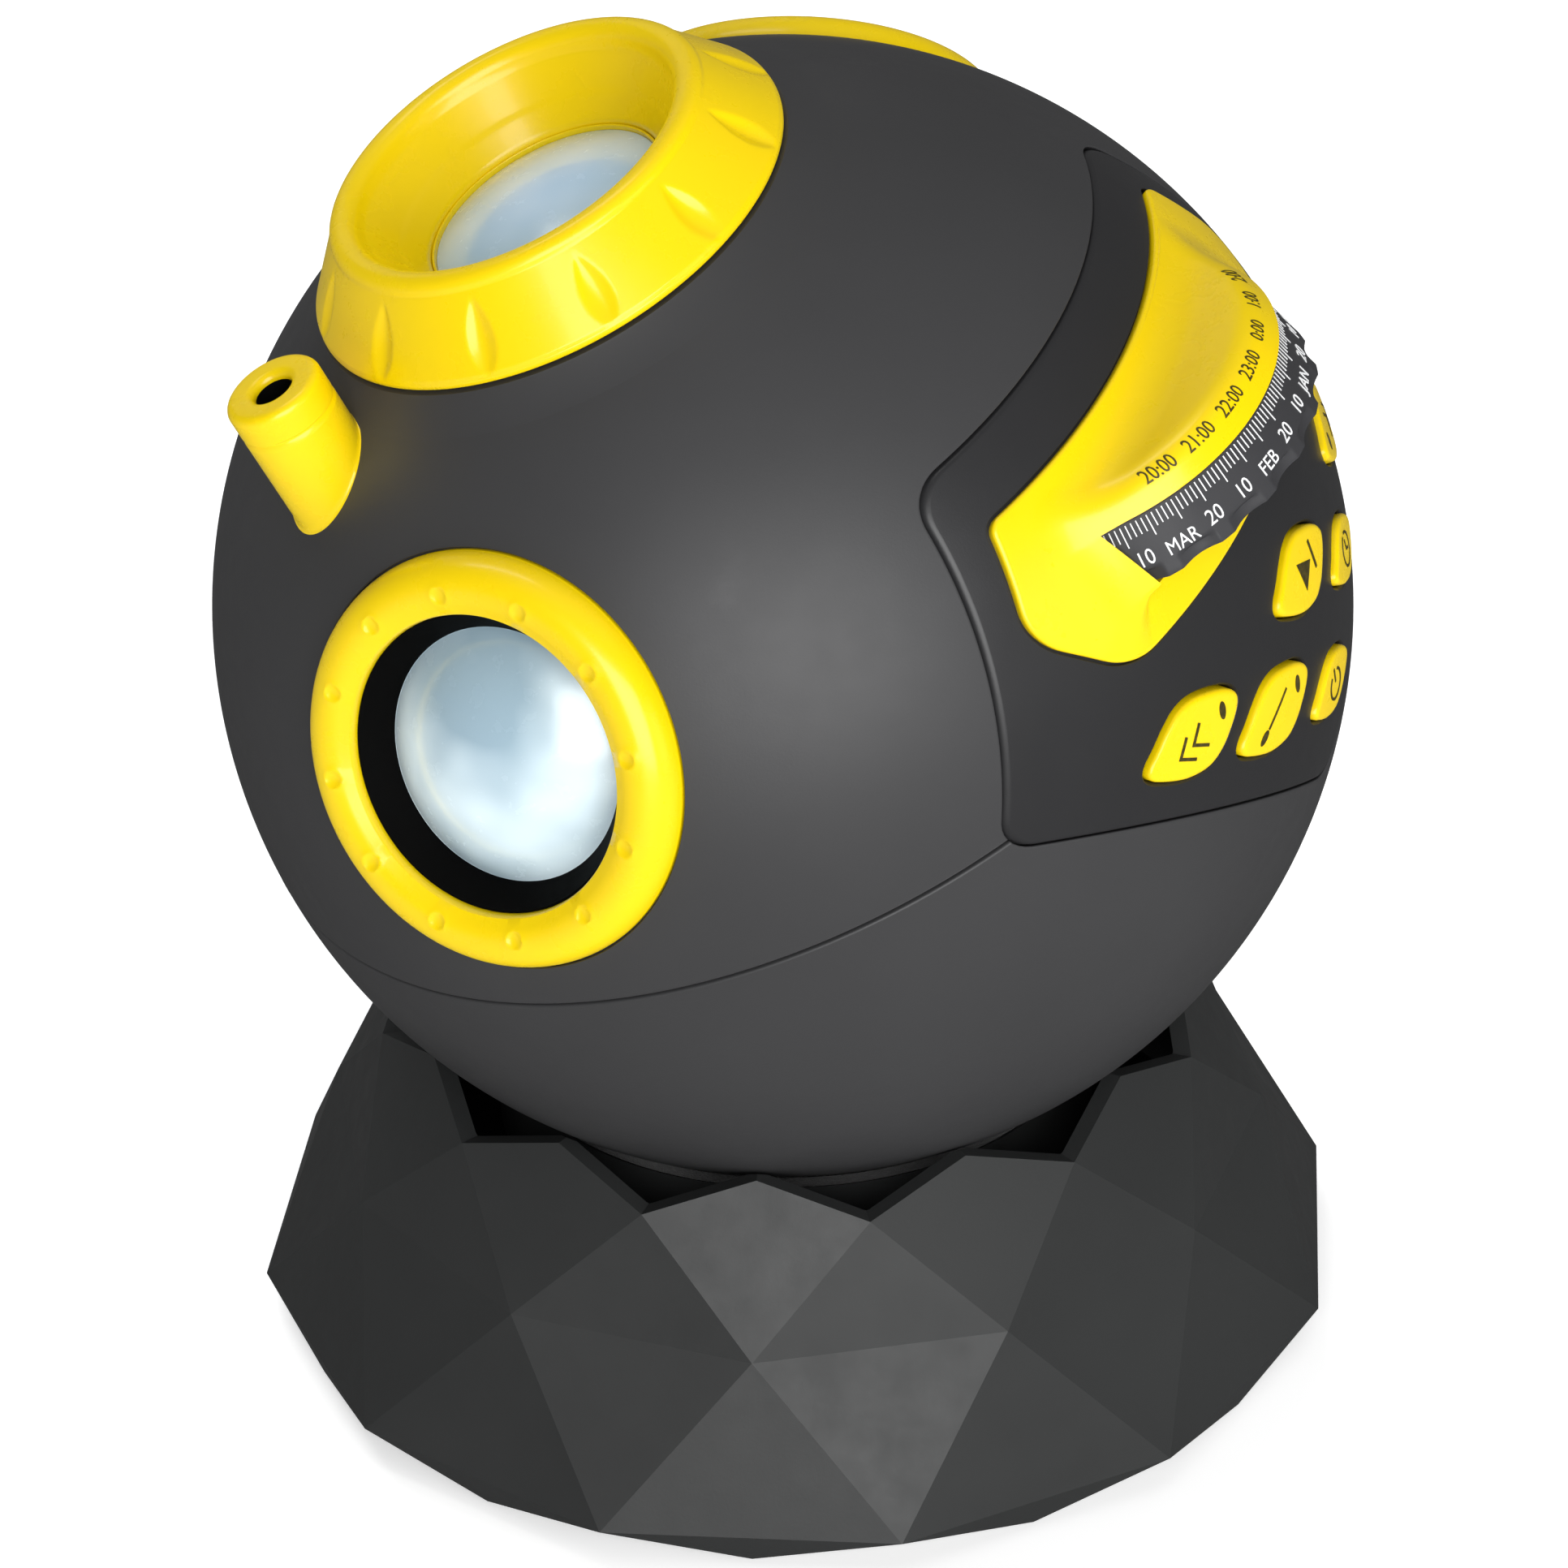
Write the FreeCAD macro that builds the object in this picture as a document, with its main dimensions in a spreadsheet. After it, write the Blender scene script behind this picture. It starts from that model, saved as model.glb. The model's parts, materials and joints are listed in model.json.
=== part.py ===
import FreeCAD, Part
import math
import os
import Sketcher
from types import SimpleNamespace
from FreeCAD import Placement, Rotation, Vector

# Home planetarium projector: a ball that leans in a faceted base.
# Row frame: +Z up, origin at the centre of the base on the floor, millimetres.
# Ball frame: origin at the ball's centre, Z along the optical axis, X towards
# the control panel. Every piece of the ball is modelled there and then placed.

doc = FreeCAD.newDocument("PlanetariumProjector")
sheet = doc.addObject("Spreadsheet::Sheet", "Dimensions")

DIMENSIONS = {
    # the ball and how it leans in the base
    "ballRadius": 85.0,
    "shellWall": 2.6,
    "ballHeight": 115.6,
    "leanAngle": 25.6,
    "leanHeading": 203.3,
    "panelSpin": 133.2,
    "seamHeight": 7.2,
    "seamGap": 0.35,
    "partGap": 0.3,
    "runningGap": 0.05,
    # the faceted base, ring by ring from the floor to the zigzag rim
    "baseSides": 12,
    "baseTurn": 9.1,
    "footRadius": 82.0,
    "footHeight": 0.6,
    "waistRadius": 86.2,
    "waistHeight": 5.5,
    "middleRadius": 73.7,
    "middleHeight": 30.2,
    "valleyRadius": 64.8,
    "valleyHeight": 48.2,
    "peakRadius": 60.2,
    "peakHeight": 53.2,
    "baseWall": 3.2,
    "rimClearance": 0.5,
    "baseScrewCircle": 66.0,
    "baseBossRadius": 4.5,
    "plateRadius": 74.0,
    "plateBottom": 1.2,
    "plateThickness": 3.0,
    "towerRadius": 41.0,
    "towerWall": 3.0,
    "towerTop": 33.0,
    "towerRibs": 6,
    "towerRibReach": 14.0,
    "towerRibHeight": 16.0,
    "padRadius": 7.0,
    "padCircle": 58.0,
    "padDepth": 0.8,
    # the seat ring that turns on the tower and carries the ball
    "seatInner": 35.0,
    "seatOuter": 47.0,
    "seatSkirt": 4.0,
    "seatGap": 0.3,
    "feltThickness": 1.4,
    "feltGap": 0.3,
    # screws
    "screwRadius": 1.45,
    "screwHeadRadius": 2.9,
    "screwHeadHeight": 1.8,
    "threadGap": 0.05,
    "bossRadius": 3.4,
    "bossCircle": 66.0,
    "bossAngle": 45.0,
    "seamScrewCircle": 70.0,
    "seamScrewLength": 16.0,
    "wellWall": 1.5,
    # the focus ring and the lens train on the optical axis
    "focusBaseRadius": 36.3,
    "focusBaseHeight": 78.4,
    "focusCrestRadius": 28.6,
    "focusCrestHeight": 90.2,
    "focusMouthRadius": 24.9,
    "focusThroatRadius": 18.1,
    "focusThroatHeight": 80.0,
    "focusLip": 1.0,
    "focusLipRound": 1.2,
    "focusNotches": 12,
    "notchRadius": 3.6,
    "notchDepth": 1.5,
    "notchReach": 0.78,
    "deckHeight": 75.9,
    "plinthInset": 1.6,
    "plinthGap": 0.6,
    "deckThickness": 2.4,
    "grooveWidth": 1.1,
    "collarRadius": 31.5,
    "collarWall": 2.4,
    "collarTop": 81.8,
    "barrelRadius": 21.5,
    "barrelWall": 1.5,
    "barrelTop": 77.4,
    "barrelBottom": 52.0,
    "sleeveWall": 2.4,
    "sleeveBottom": 48.0,
    "sleeveFlange": 31.5,
    "sleeveFlangeThickness": 2.0,
    "frontLensEdge": 2.0,
    "frontLensCurve": 40.0,
    "retainerHeight": 1.6,
    "retainerWidth": 1.4,
    "rearLensRadius": 15.0,
    "rearLensCurve": 28.0,
    "rearLensHeight": 56.0,
    # the shooting-star tube
    "tubeAzimuth": -122.3,
    "tubeOffset": 47.35,
    "tubeRadius": 7.2,
    "tubeMouth": 86.2,
    "nozzleLength": 5.0,
    "nozzleRound": 1.1,
    "tubeBore": 4.0,
    "nozzleBore": 3.5,
    "spigotRadius": 5.4,
    "spigotBottom": 56.0,
    "tubeLensThickness": 2.0,
    "tubeLensCurve": 12.0,
    "tubeLampRadius": 2.5,
    # the two round side windows
    "portAzimuth": 91.0,
    "portPolar": 60.0,
    "portOuter": 29.6,
    "portSeat": 78.6,
    "portCrest": 84.2,
    "portCrestRadius": 25.6,
    "portInner": 20.8,
    "portDimples": 12,
    "dimpleCircle": 25.0,
    "dimpleRadius": 1.8,
    "dimpleDepth": 0.5,
    "portHole": 24.8,
    "portSpigot": 5.0,
    "portSpigotWall": 2.0,
    "bezelThroat": 18.0,
    "bezelLip": 76.0,
    "cupRadius": 20.2,
    "cupWall": 1.6,
    "cupBottom": 62.0,
    "portLensEdge": 2.0,
    "portLensCurve": 30.0,
    "portBoardThickness": 1.6,
    "ledRadius": 2.5,
    "ledHeight": 4.0,
    # the control panel, a shield set into the ball
    "panelRoll": -2.6,
    "panelTop": 48.9,
    "panelTopHalf": 38.4,
    "panelShoulder": 3.8,
    "panelHalf": 60.0,
    "panelTip": -41.0,
    "panelTopRound": 8.0,
    "panelSideRound": 5.0,
    "panelTipRound": 12.0,
    "boardFront": 61.6,
    "boardThickness": 1.6,
    "boardTop": 7.6,
    "boardTopHalf": 44.0,
    "boardBottom": -33.0,
    "boardBottomHalf": 20.0,
    "matOuter": 78.6,
    "matThickness": 1.6,
    "matTop": 6.0,
    "matTopHalf": 46.0,
    "matTip": -32.0,
    "matTipHalf": 10.0,
    "postRadius": 2.3,
    "postUpperY": 16.6,
    "postUpperZ": 4.4,
    "postLowerY": 14.5,
    "postLowerZ": -25.0,
    # the push buttons
    "buttonWidth": 20.4,
    "buttonHeight": 11.6,
    "buttonTipRound": 1.7,
    "buttonProud": 0.8,
    "buttonGap": 0.3,
    "flangeWidth": 0.8,
    "smallButton": 0.82,
    "flangeTop": 81.2,
    "flangeThickness": 1.3,
    # the visor over the date dial
    "visorTop": 40.7,
    "visorTopHalf": 36.4,
    "visorSide": 26.0,
    "visorSideHalf": 44.2,
    "visorBottom": 13.4,
    "visorBottomHalf": 36.2,
    "visorCornerRound": 3.0,
    "visorSideRound": 8.0,
    "visorFootRound": 8.0,
    "visorProud": 0.7,
    "visorInlay": 0.8,
    "brimGap": 0.4,
    "brimRise": 6.6,
    "brimTopRadius": 26.8,
    "brimWall": 1.8,
    "brimRound": 2.4,
    "roofTilt": 15.0,
    "windowHalf": 27.3,
    "windowBottom": 20.8,
    "shroudWall": 1.6,
    # the date dial and its gear train
    "dialTop": 32.6,
    "dialBottom": 22.9,
    "dialTopRadius": 30.0,
    "dialBottomRadius": 33.0,
    "dialWall": 2.2,
    "dialWeb": 2.0,
    "dialHubRadius": 7.0,
    "dialNeckRadius": 6.2,
    "dialGrips": 24,
    "gripRadius": 3.2,
    "gripDepth": 1.0,
    "gripHeight": 3.2,
    "slotGap": 0.6,
    "axleRadius": 3.0,
    "axleTop": 30.0,
    "gearModule": 1.5,
    "hubTeeth": 24,
    "idlerTeeth": 24,
    "idlerLowTeeth": 18,
    "dialTeeth": 18,
    "pinionTeeth": 10,
    "pinionRoom": 0.15,
    "toothAddendum": 1.35,
    "toothDedendum": 1.9,
    "toothPitchWidth": 2.05,
    "toothTipWidth": 0.95,
    "toothRootWidth": 3.0,
    "gearBottom": 15.6,
    "gearThickness": 4.0,
    "lowGearBottom": 11.9,
    "lowGearThickness": 3.3,
    # the optics frame and what it carries
    "frameBottom": 9.0,
    "frameThickness": 2.5,
    "frameRadius": 71.0,
    "bearingRadius": 12.0,
    "bearingBore": 9.5,
    "bearingTop": 21.0,
    "carrierSeat": 0.4,
    "carrierThroat": 20.0,
    "carrierWall": 2.0,
    "carrierFlange": 29.0,
    "carrierFlangeBottom": 32.6,
    "carrierFlangeTop": 36.8,
    "discRadius": 26.4,
    "discThickness": 0.5,
    "discLedge": 3.0,
    "clipThickness": 1.2,
    "condenserRadius": 9.4,
    "condenserBottom": 14.5,
    "condenserEdge": 1.2,
    "condenserCurve": 11.0,
    "lampBoardRadius": 12.4,
    "lampBoardThickness": 1.6,
    "sinkHeight": 11.0,
    "sinkFins": 7,
    "sinkFinWidth": 1.2,
    "motorRadius": 12.0,
    "motorLength": 22.0,
    "motorShaft": 1.5,
    "idlerPinRadius": 2.5,
    # the batteries in the lower dome
    "cellRadius": 7.1,
    "cellLength": 49.5,
    "cellPitch": 15.0,
    "cellHeight": -61.0,
    "boxWall": 1.6,
    "boxClearance": 0.2,
    "contactThickness": 0.6,
    "doorHalfX": 25.0,
    "doorHalfY": 28.0,
    "doorRound": 6.0,
    "jackRadius": 4.5,
    "jackLength": 12.0,
    "jackPolar": 108.0,
    "jackAzimuth": 149.0,
    "jackBore": 2.6,
}

for row, (alias, number) in enumerate(DIMENSIONS.items(), start=1):
    sheet.set(f"A{row}", alias)
    sheet.set(f"B{row}", str(number))
    sheet.setAlias(f"B{row}", alias)
doc.recompute()


class Size:
    # A length or angle, known both as a number and as the sheet formula behind it.
    def __init__(self, value, formula):
        self.value = float(value)
        self.formula = formula

    def __add__(self, other):
        other = as_size(other)
        return Size(self.value + other.value, f"({self.formula} + {other.formula})")

    def __sub__(self, other):
        other = as_size(other)
        return Size(self.value - other.value, f"({self.formula} - {other.formula})")

    def __mul__(self, other):
        other = as_size(other)
        return Size(self.value * other.value, f"({self.formula} * {other.formula})")

    def __truediv__(self, other):
        other = as_size(other)
        return Size(self.value / other.value, f"({self.formula} / {other.formula})")

    def __radd__(self, other):
        return as_size(other) + self

    def __rsub__(self, other):
        return as_size(other) - self

    def __rmul__(self, other):
        return as_size(other) * self

    def __neg__(self):
        return as_size(0) - self


def as_size(number):
    return number if isinstance(number, Size) else Size(number, f"({float(number)})")


def root(size):
    return Size(math.sqrt(size.value), f"sqrt({size.formula})")


def height_on_ball(radius, offset):
    # height of a sphere's surface at a distance from its axis
    return root(radius * radius - offset * offset)


d = SimpleNamespace(**{name: Size(getattr(sheet, name), f"Dimensions.{name}") for name in DIMENSIONS})

shell_inner = d.ballRadius - d.shellWall
far_out = d.ballRadius * 1.5
# the gear train's centres along the ball's X axis
idler_centre = d.gearModule * (d.hubTeeth + d.idlerTeeth) / 2
dial_centre = idler_centre + d.gearModule * (d.idlerLowTeeth + d.dialTeeth) / 2
motor_centre = -(d.gearModule * (d.hubTeeth + d.pinionTeeth) / 2 + d.pinionRoom)
# the three seam screws stand at the back, clear of the windows and the panel
seam_azimuths = (118.0, 180.0, 242.0)

# frames: the ball in its seat, and a frame whose Z points out of the ball
ball_centre = Vector(0, 0, d.ballHeight.value)
ball_turn = (Rotation(Vector(0, 0, 1), d.leanHeading.value)
             * Rotation(Vector(0, 1, 0), d.leanAngle.value)
             * Rotation(Vector(0, 0, 1), d.panelSpin.value))
BALL = Placement(ball_centre, ball_turn)
ROW = Placement()


def outward(azimuth, polar):
    # a placement in the ball frame: Z points out of the ball at these angles
    turn = Rotation(Vector(0, 0, 1), azimuth) * Rotation(Vector(0, 1, 0), polar)
    return Placement(Vector(0, 0, 0), turn)


def shifted(x, y=0.0, turn=0.0):
    # a placement in the ball frame on an axis parallel to the optical axis
    return Placement(Vector(x, y, 0), Rotation(Vector(0, 0, 1), turn))


nodes = []


def node(label, obj, placement):
    obj.Label = label
    obj.Placement = placement
    nodes.append(obj)
    return obj


def bind(obj, **sizes):
    for name, size in sizes.items():
        obj.setExpression(name, as_size(size).formula)


def primitive(kind, label, at=(0, 0, 0), frame=None, **sizes):
    obj = doc.addObject(f"Part::{kind}", label)
    bind(obj, **sizes)
    if frame is None:
        for axis, size in zip("xyz", at):
            if not isinstance(size, (int, float)) or size != 0:
                obj.setExpression(f"Placement.Base.{axis}", as_size(size).formula)
    else:
        obj.Placement = frame.multiply(Placement(Vector(*[as_size(s).value for s in at]), Rotation()))
    return obj


def cylinder(label, radius, bottom, top, x=0, y=0, frame=None):
    return primitive("Cylinder", label, at=(x, y, bottom), frame=frame, Radius=radius, Height=top - bottom)


def cone(label, low_radius, high_radius, bottom, top, x=0):
    return primitive("Cone", label, at=(x, 0, bottom), Radius1=low_radius, Radius2=high_radius,
                     Height=top - bottom)


def box(label, low, high):
    sides = [b - a for a, b in zip(low, high)]
    return primitive("Box", label, at=low, Length=sides[0], Width=sides[1], Height=sides[2])


def ball(label, radius):
    return primitive("Sphere", label, Radius=radius)


def boolean(kind, label, base, tools):
    for index, tool in enumerate(tools):
        obj = doc.addObject(f"Part::{kind}", f"{label}_{kind}{index}")
        obj.Base = base
        obj.Tool = tool
        base = obj
    return base


def cut(label, base, *tools):
    return boolean("Cut", label, base, tools)


def fuse(label, base, *tools):
    return boolean("Fuse", label, base, tools)


def common(label, base, *tools):
    return boolean("Common", label, base, tools)


def hollow_ball(label, outer, inner):
    return cut(label, ball(f"{label}_outer", outer), ball(f"{label}_inner", inner))


def group(label, shapes):
    # identical pieces that share one node, as separate solids
    obj = doc.addObject("Part::Compound", label)
    obj.Links = shapes
    return obj


def placed_copy(label, source, placement):
    obj = doc.addObject("Part::Feature", label)
    obj.Shape = source.Shape.copy()
    obj.Placement = placement
    return obj


def new_body(label):
    return doc.addObject("PartDesign::Body", label)


def origin_feature(body, role):
    return next(f for f in body.Origin.OriginFeatures if f.Role == role)


def new_sketch(body, label, plane="XZ_Plane", offset=None):
    sketch = body.newObject("Sketcher::SketchObject", label)
    sketch.AttachmentSupport = [(origin_feature(body, plane), "")]
    sketch.MapMode = "FlatFace"
    if offset is not None:
        sketch.setExpression("AttachmentOffset.Base.z", as_size(offset).formula)
    return sketch


def arc_between(start, end, radius, side):
    # the short arc of this radius from start to end, bulging left (+1) or right (-1)
    chord = end - start
    half = chord.Length / 2
    normal = Vector(-chord.y, chord.x, 0).normalize()
    rise = radius - math.sqrt(max(radius * radius - half * half, 0.0))
    middle = (start + end) * 0.5 + normal * (rise * side)
    return Part.Arc(start, middle, end)


def draw_outline(sketch, points, arcs=None):
    # A closed outline whose corners are all tied to the sheet. arcs gives, for the
    # side that leaves a corner, its radius and the way it bulges.
    arcs = arcs or {}
    corners = [(as_size(x), as_size(y)) for x, y in points]
    places = [Vector(x.value, y.value, 0) for x, y in corners]
    count = len(corners)
    ends = []
    for i in range(count):
        start, end = places[i], places[(i + 1) % count]
        if i in arcs:
            curve = arc_between(start, end, as_size(arcs[i][0]).value, arcs[i][1])
            # an arc of a sketch always runs anticlockwise
            ends.append((2, 1) if arcs[i][1] > 0 else (1, 2))
        else:
            curve = Part.LineSegment(start, end)
            ends.append((1, 2))
        sketch.addGeometry(curve, False)
    for i in range(count):
        after = (i + 1) % count
        sketch.addConstraint(Sketcher.Constraint("Coincident", i, ends[i][1], after, ends[after][0]))
    for i, (x, y) in enumerate(corners):
        for kind, size, axis in (("DistanceX", x, -2), ("DistanceY", y, -1)):
            if abs(size.value) < 1e-9:
                sketch.addConstraint(Sketcher.Constraint("PointOnObject", i, ends[i][0], axis))
            else:
                index = sketch.addConstraint(
                    Sketcher.Constraint(kind, -1, 1, i, ends[i][0], size.value))
                sketch.setExpression(f"Constraints[{index}]", size.formula)
        if i in arcs:
            radius = as_size(arcs[i][0])
            index = sketch.addConstraint(Sketcher.Constraint("Radius", i, radius.value))
            sketch.setExpression(f"Constraints[{index}]", radius.formula)


def turned(label, points, arcs=None):
    # a body turned about its own Z from a profile of (radius, height) corners
    body = new_body(label)
    sketch = new_sketch(body, f"{label}_profile")
    draw_outline(sketch, points, arcs)
    feature = body.newObject("PartDesign::Revolution", f"{label}_turn")
    feature.Profile = sketch
    feature.ReferenceAxis = (sketch, ["V_Axis"])
    feature.Angle = 360
    body.Tip = feature
    return body


def add_pad(body, label, points, bottom, length, arcs=None, plane="XY_Plane"):
    sketch = new_sketch(body, f"{label}_outline", plane, bottom)
    draw_outline(sketch, points, arcs)
    feature = body.newObject("PartDesign::Pad", label)
    feature.Profile = sketch
    bind(feature, Length=length)
    body.Tip = feature
    return feature


def padded(label, points, bottom, length, arcs=None, plane="XY_Plane"):
    body = new_body(label)
    add_pad(body, f"{label}_pad", points, bottom, length, arcs, plane)
    return body


def round_upright_edges(body, label, radius, chosen, direction=Vector(0, 0, 1)):
    # rounds the straight edges that run along the pad and meet the chooser's test
    doc.recompute()
    base = body.Tip
    names = []
    for number, edge in enumerate(base.Shape.Edges, start=1):
        if edge.Curve.TypeId != "Part::GeomLine":
            continue
        run = edge.Vertexes[-1].Point - edge.Vertexes[0].Point
        if run.normalize().cross(direction).Length < 1e-6 and chosen(edge.Vertexes[0].Point):
            names.append(f"Edge{number}")
    feature = body.newObject("PartDesign::Fillet", label)
    feature.Base = (base, names)
    bind(feature, Radius=radius)
    body.Tip = feature


def repeat_around(body, feature, label, count):
    pattern = body.newObject("PartDesign::PolarPattern", label)
    pattern.Originals = [feature]
    pattern.Axis = (origin_feature(body, "Z_Axis"), [""])
    pattern.Angle = 360
    bind(pattern, Occurrences=count)
    body.Tip = pattern


def mirrored(points):
    # the right half of an outline, top to bottom, closed by its mirror image
    left = [(-x, y) for x, y in reversed(points) if x.value > 1e-9]
    return points + left


def rounded_prism(label, corners, rounds, bottom, length, plane):
    # a pad of a mirror-symmetric outline with each pair of corners rounded
    body = padded(label, mirrored(corners), bottom, length, plane=plane)
    for index, ((across, up), radius) in enumerate(zip(corners, rounds)):
        def at_corner(point, across=across, up=up):
            flat = (point.y, point.z) if plane == "YZ_Plane" else (point.x, point.y)
            return abs(abs(flat[0]) - across.value) < 0.01 and abs(flat[1] - up.value) < 0.01
        direction = Vector(1, 0, 0) if plane == "YZ_Plane" else Vector(0, 0, 1)
        round_upright_edges(body, f"{label}_round{index}", radius, at_corner, direction)
    return body


def screw(label, tip, head_bottom):
    # a pan-head screw that points up: its head lies below head_bottom
    reach = tip - head_bottom
    crown = head_bottom - d.screwHeadHeight
    profile = [(0, crown), (d.screwHeadRadius * 0.7, crown),
               (d.screwHeadRadius, head_bottom - d.screwHeadHeight * 0.6), (d.screwHeadRadius, head_bottom),
               (d.screwRadius, head_bottom), (d.screwRadius, head_bottom + reach * 0.94), (0, tip)]
    return turned(label, profile)


def screws(label, count, centre, circle, first, pitch, tip, head_bottom, placement):
    # identical screws on a circle about (centre, 0), kept as one node
    master = screw(f"{label}_master", tip, head_bottom)
    doc.recompute()
    copies = []
    for i in range(count):
        angle = math.radians(first + pitch * i)
        place = Vector(centre + circle * math.cos(angle), circle * math.sin(angle), 0)
        copies.append(placed_copy(f"{label}_{i + 1}", master, Placement(place, Rotation())))
    return node(label, group(label + "_group", copies), placement)


# --- the base ---------------------------------------------------------------

def faceted_cup(shrink, floor_drop, rim_lift):
    # A twelve-sided cup: alternate rings are turned by half a side, so the wall is
    # made of flat triangles and kites, and the rim is a zigzag of valleys and peaks.
    sides = int(d.baseSides.value)
    step = 360.0 / sides

    def ring(radius, height, half_step):
        start = d.baseTurn.value + (step / 2 if half_step else 0)
        angles = [math.radians(start + step * i) for i in range(sides)]
        return [Vector((radius - shrink) * math.cos(a), (radius - shrink) * math.sin(a), height)
                for a in angles]

    foot = ring(d.footRadius.value, d.footHeight.value - floor_drop, True)
    waist = ring(d.waistRadius.value, d.waistHeight.value, False)
    middle = ring(d.middleRadius.value, d.middleHeight.value, True)
    valley = ring(d.valleyRadius.value, d.valleyHeight.value + rim_lift, False)
    peak = ring(d.peakRadius.value, d.peakHeight.value + rim_lift, True)
    crown = Vector(0, 0, d.valleyHeight.value + rim_lift)

    faces = []
    for i in range(sides):
        j = (i + 1) % sides
        faces.append([foot[i], foot[j], waist[j]])
        faces.append([waist[i], waist[j], foot[i]])
        faces.append([waist[i], waist[j], middle[i]])
        faces.append([middle[i], waist[j], middle[j]])
        faces.append([middle[i], middle[j], valley[j]])
        faces.append([valley[i], middle[i], valley[j]])
        faces.append([valley[i], valley[j], peak[i]])
        faces.append([valley[i], peak[i], crown])
        faces.append([peak[i], valley[j], crown])
    triangles = [Part.Face(Part.makePolygon(f + [f[0]])) for f in faces]
    floor = Part.Face(Part.makePolygon(foot + [foot[0]]))
    shell = Part.makeShell(triangles + [floor])
    solid = Part.makeSolid(shell)
    if solid.Volume < 0:
        solid.reverse()
    return solid


def build_base():
    # The moulded cup, hollow and open at the top, with its inside edge cut to the
    # ball, and four bosses for the screws that hold the floor plate.
    wall = d.baseWall.value
    outer = faceted_cup(0.0, 0.0, 0.0)
    inner = faceted_cup(wall, wall, wall * 0.8)
    cup = outer.cut(inner)
    boss_bottom = d.plateBottom.value + d.plateThickness.value
    bosses = []
    bores = []
    for i in range(4):
        angle = math.radians(d.baseTurn.value + 90 * i)
        place = Vector(d.baseScrewCircle.value * math.cos(angle), d.baseScrewCircle.value * math.sin(angle),
                       boss_bottom)
        reach = d.valleyHeight.value - boss_bottom
        bosses.append(Part.makeCylinder(d.baseBossRadius.value, reach, place).common(outer))
        bores.append(Part.makeCylinder(d.screwRadius.value + d.threadGap.value, 14.0, place))
    cup = cup.fuse(bosses).cut(bores)
    clearance = Part.makeSphere(d.ballRadius.value + d.rimClearance.value, ball_centre)
    cup = cup.cut(clearance).removeSplitter()
    solids = sorted(cup.Solids, key=lambda s: s.Volume)
    shell = doc.addObject("Part::Feature", "base_shell_cup")
    shell.Shape = solids[-1]
    node("base_shell", shell, ROW)

    # the floor plate with the tower that carries the seat
    top = d.plateBottom + d.plateThickness
    plate = turned("base_plate_body", [
        (0, d.plateBottom), (d.plateRadius, d.plateBottom), (d.plateRadius, top),
        (d.towerRadius, top), (d.towerRadius, d.towerTop), (d.towerRadius - d.towerWall, d.towerTop),
        (d.towerRadius - d.towerWall, top), (0, top)])
    rib_foot = d.towerRadius - d.towerWall / 2
    rib = add_pad(plate, "base_plate_rib", [
        (rib_foot, top - 0.5), (d.towerRadius + d.towerRibReach, top - 0.5),
        (d.towerRadius + d.towerRibReach, top + 1.0), (rib_foot, top + d.towerRibHeight)],
        -1.0, as_size(2.0), plane="XZ_Plane")
    repeat_around(plate, rib, "base_plate_ribs", d.towerRibs)
    holes = []
    for i in range(4):
        angle = math.radians(d.baseTurn.value + 90 * i)
        x, y = math.cos(angle), math.sin(angle)
        holes.append(cylinder(f"base_plate_hole{i}", d.screwRadius + d.partGap, d.plateBottom - 1,
                              top + 1, d.baseScrewCircle * x, d.baseScrewCircle * y))
        holes.append(cylinder(f"base_plate_sink{i}", d.screwHeadRadius + d.partGap, d.plateBottom - 1,
                              d.plateBottom + 1.6, d.baseScrewCircle * x, d.baseScrewCircle * y))
        angle += math.radians(45)
        x, y = math.cos(angle), math.sin(angle)
        holes.append(cylinder(f"base_plate_foot{i}", d.padRadius, d.plateBottom - 1,
                              d.plateBottom + d.padDepth, d.padCircle * x, d.padCircle * y))
    node("base_plate", cut("base_plate", plate, *holes), ROW)

    # rubber feet in shallow pockets, standing just proud of the shell's edge
    foot_top = d.plateBottom + d.padDepth
    foot = turned("base_foot_master", [
        (0, 0), (d.padRadius - 1.2, 0), (d.padRadius - 0.2, 0.8), (d.padRadius - 0.2, foot_top),
        (0, foot_top)])
    doc.recompute()
    feet = []
    for i in range(4):
        angle = math.radians(d.baseTurn.value + 90 * i + 45)
        place = Vector(d.padCircle.value * math.cos(angle), d.padCircle.value * math.sin(angle), 0)
        feet.append(placed_copy(f"base_foot_{i + 1}", foot, Placement(place, Rotation())))
    node("rubber_feet", group("rubber_feet_group", feet), ROW)
    screws("base_screws", 4, 0.0, d.baseScrewCircle.value, d.baseTurn.value, 90.0,
           top + 12.0, d.plateBottom + 1.6, ROW)

    # the seat ring turns on the tower; its top is hollowed to the ball, with a felt ring on it
    felt_outer = d.ballRadius + d.feltGap + d.feltThickness
    felt_inner = d.ballRadius + d.feltGap
    bed = felt_outer + d.threadGap

    def under_ball(radius, offset):
        return d.ballHeight - height_on_ball(radius, offset)

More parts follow.
